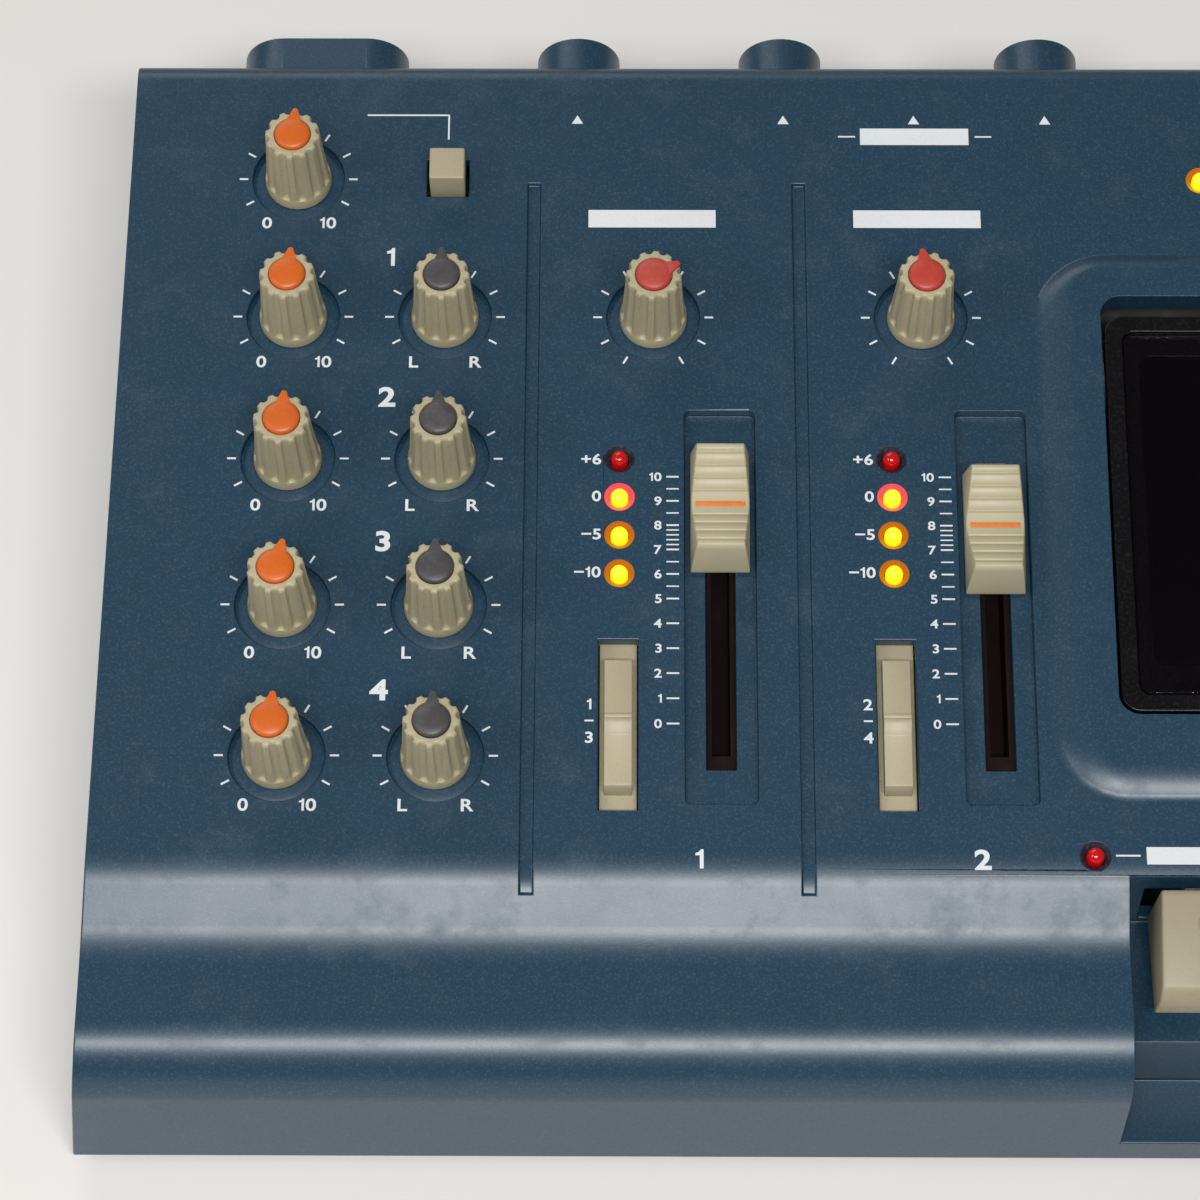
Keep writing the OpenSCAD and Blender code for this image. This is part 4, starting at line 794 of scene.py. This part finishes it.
# Cassette: a dark moulded shell, welded or screwed from two halves, with a purple paper label,
# white printed lines and the side's letter. Its two toothed hubs carry the brown tape.
shell_plastic = plastic("cassette_plastic", srgb(48, 48, 56), rough=0.35, uneven=0.05, scale=1200,
                        speckle=0.04, dust=0.05, bump=0.15)
cassette = merged_copy("cassette_shell")
broken_edges(cassette, 0.0003)
even_shading(cassette)
finish(cassette, "cassette_case", shell_plastic, "lid", SHARP_ANGLE,
       ("cassette_shell",))
paper = plastic("purple_label", srgb(132, 34, 146), rough=0.5, uneven=0.08, scale=700, speckle=0.05,
                dust=0, bump=0.1)
paper_line = plastic("violet_line", srgb(210, 60, 225), rough=0.5, speckle=0)
pale_line = plastic("pale_line", srgb(214, 214, 220), rough=0.5, speckle=0)
grey_print = plastic("grey_print", srgb(150, 160, 185), rough=0.5, speckle=0)
SHELL_TOP = LID_RISE - 5.05
ON_LABEL = SHELL_TOP + 0.1


def label_piece(name, outline, z, material):
    piece = outline_block(outline, 0.08)
    placed(piece, at(0, 0, z))
    finish(piece, name, material, "lid", 30)


label_piece("cassette_label", rounded_outline(178, 56.6, 273.6, 97, 2), SHELL_TOP, paper)
label_piece("cassette_side_panel", rounded_outline(190, 60.6, 261.6, 75, 2.5), SHELL_TOP + 0.09,
            shell_plastic)
label_piece("label_line_1", rounded_outline(178.2, 71.6, 189.6, 72.1, 0.1), ON_LABEL, paper_line)
label_piece("label_line_2", rounded_outline(262, 71.6, 273.2, 72.1, 0.1), ON_LABEL, paper_line)
label_piece("label_dash", rounded_outline(178.2, 57.1, 179.6, 57.7, 0.1), ON_LABEL, pale_line)
for k, b in enumerate((48.5, 47.1)):
    outline = rounded_outline(177.4, b, 182.4, b + 0.25, 0.05)
    label_piece(f"shell_line_{k + 1}", outline, SHELL_TOP - 0.03, pale_line)
frame_lines = ((179.4, 85.6, 272.2, 85.9), (179.4, 81, 272.2, 81.3), (179.1, 81, 179.4, 85.9),
               (272.2, 81, 272.5, 85.9))
for k, line in enumerate(frame_lines):
    label_piece(f"label_frame_{k + 1}", rounded_outline(*line, 0.1), ON_LABEL, pale_line)
prints.clear()
figure("A", 182.6, 64.3, 4.2, bold=0.04)
letter = prints[0]
letter.data.transform(Matrix.Translation((0, 0, ON_LABEL / 1000)))
finish(letter, "side_letter", grey_print, "lid", 30)
tape_brown = plastic("wound_tape", srgb(62, 40, 30), rough=0.3, uneven=0.1, scale=300, speckle=0.02, bump=0.1)
hub_white = plastic("hub_plastic", srgb(228, 226, 218), rough=0.4, uneven=0.03, speckle=0.03)
HUB_X, HUB_B, HUB_Z = {"supply_hub": 204.55, "take_up_hub": 247.05}, 68.1, LID_RISE - 6.6
for node in ("supply_hub", "take_up_hub"):
    pack = merged_copy(node)
    broken_edges(pack, 0.0002)
    even_shading(pack)
    finish(pack, node + "_tape", tape_brown, node, SHARP_ANGLE, (node,))
    rim = ring_of([(5.6, -0.4), (10.6, -0.4), (10.6, 0), (5.6, 0)], 72)
    placed(rim, at(HUB_X[node], HUB_B, HUB_Z))
    finish(rim, node + "_rim", hub_white, node, 40)

# The rest keeps its exact shape: each gets a small broken edge and the finish of its real
# material, such as zinc-plated sheet, turned brass, glass-fibre board, rubber or moulded plastic.
steel = plastic("zinc_steel", (0.62, 0.63, 0.65, 1), rough=0.32, uneven=0.08, scale=900, speckle=0.08,
                fleck=(0.4, 0.41, 0.43, 1), dust=0.05, metal=1.0)
brass = plastic("turned_brass", (0.72, 0.55, 0.24, 1), rough=0.28, uneven=0.08, scale=700, speckle=0.06,
                fleck=(0.5, 0.36, 0.15, 1), dust=0.02, metal=1.0)
charcoal = plastic("charcoal_plastic", srgb(38, 38, 42), rough=0.45, uneven=0.06, scale=1600, speckle=0.08,
                   fleck=srgb(80, 80, 84), dust=0.15)
base_plastic = plastic("base_plastic", srgb(32, 36, 42), rough=0.5, uneven=0.06, scale=1700, speckle=0.1,
                       fleck=srgb(70, 74, 80), dust=0.2, bump=0.4)
rubber = plastic("black_rubber", srgb(24, 24, 25), rough=0.75, uneven=0.1, scale=1400, speckle=0.06,
                 fleck=srgb(60, 60, 60), dust=0.3, bump=0.4)
board_green = plastic("board_lacquer", srgb(34, 92, 48), rough=0.3, uneven=0.12, scale=500, speckle=0.12,
                      fleck=srgb(120, 140, 70), dust=0.05)
phono_metal = plastic("phono_metal", (0.7, 0.68, 0.62, 1), rough=0.25, uneven=0.05, scale=900, speckle=0.04,
                      metal=1.0)
slider_card = plastic("slider_card", srgb(24, 12, 9), rough=0.6, uneven=0.15, scale=900, speckle=0.05,
                      fleck=srgb(50, 30, 24), dust=0.01, gloss=0.15)
kept = {    # each node's material, and its broken edge in millimetres
    "bottom_case": (base_plastic, 0.3), "main_board": (board_green, 0.1), "pot_bodies": (steel, 0.2),
    "slide_pots": (slider_card, 0.2), "switch_bodies": (charcoal, 0.2), "jack_sockets": (charcoal, 0.2),
    "phono_sockets": (phono_metal, 0.15), "dc_socket": (charcoal, 0.15), "deck_chassis": (steel, 0.15),
    "motor": (steel, 0.4), "drive_belt": (rubber, 0.2), "key_rod": (steel, 0.2),
    "counter_frame": (charcoal, 0.1), "feet": (rubber, 0.4), "case_screws": (steel, 0.2),
    "inner_screws": (steel, 0.2), "flywheel": (brass, 0.3), "motor_pulley": (brass, 0.1),
    "head_plate": (steel, 0.1), "tape_heads": (steel, 0.2), "pinch_roller": (rubber, 0.2),
    "supply_spindle": (charcoal, 0.15), "take_up_spindle": (charcoal, 0.15),
    "counter_reset": (charcoal, 0.35), "power_slider": (charcoal, 0.2),
    "counter_wheel_1": (charcoal, 0.1), "counter_wheel_2": (charcoal, 0.1),
    "counter_wheel_3": (charcoal, 0.1)}
body_of = {node: body for body, names in frame["record"]["behaviour"]["bodies"].items() for node in names}
for node, (material, edge) in kept.items():
    piece = merged_copy(node)
    broken_edges(piece, edge / 1000)
    even_shading(piece)
    finish(piece, node + "_piece", material, body_of[node], SHARP_ANGLE, (node,))

# Counter digits: white figures round each wheel, nought to nine, as a tape counter has.
# They are printed on the drum, so each sits a hair above it and turns with it.
WHEEL_X, WHEEL_PITCH, WHEEL_B, WHEEL_Z = 235.8, 5, 124.9, -9.5
DRUM_RADIUS = 6.51
for i in range(3):
    prints.clear()
    x = WHEEL_X + (i - 1) * WHEEL_PITCH
    for digit in range(10):
        deselect()
        bpy.ops.object.text_add(location=(0, 0, 0))
        label = bpy.context.object
        label.data.body = str(digit)
        label.data.size = 3.6
        label.data.align_x = "CENTER"
        label.data.align_y = "CENTER"
        label.data.extrude = 0.01
        label.data.resolution_u = 3
        bpy.ops.object.convert(target="MESH")
        label = bpy.context.object
        around = Matrix.Rotation(radians(-36 * digit), 4, "X") @ Matrix.Translation((0, 0, DRUM_RADIUS))
        prints.append(placed(label, at(x, WHEEL_B, WHEEL_Z) @ around))
    only(prints[0])
    for piece in prints[1:]:
        piece.select_set(True)
    bpy.ops.object.join()
    finish(bpy.context.object, f"counter_digits_{i + 1}", ink, f"counter_wheel_{i + 1}", 30)
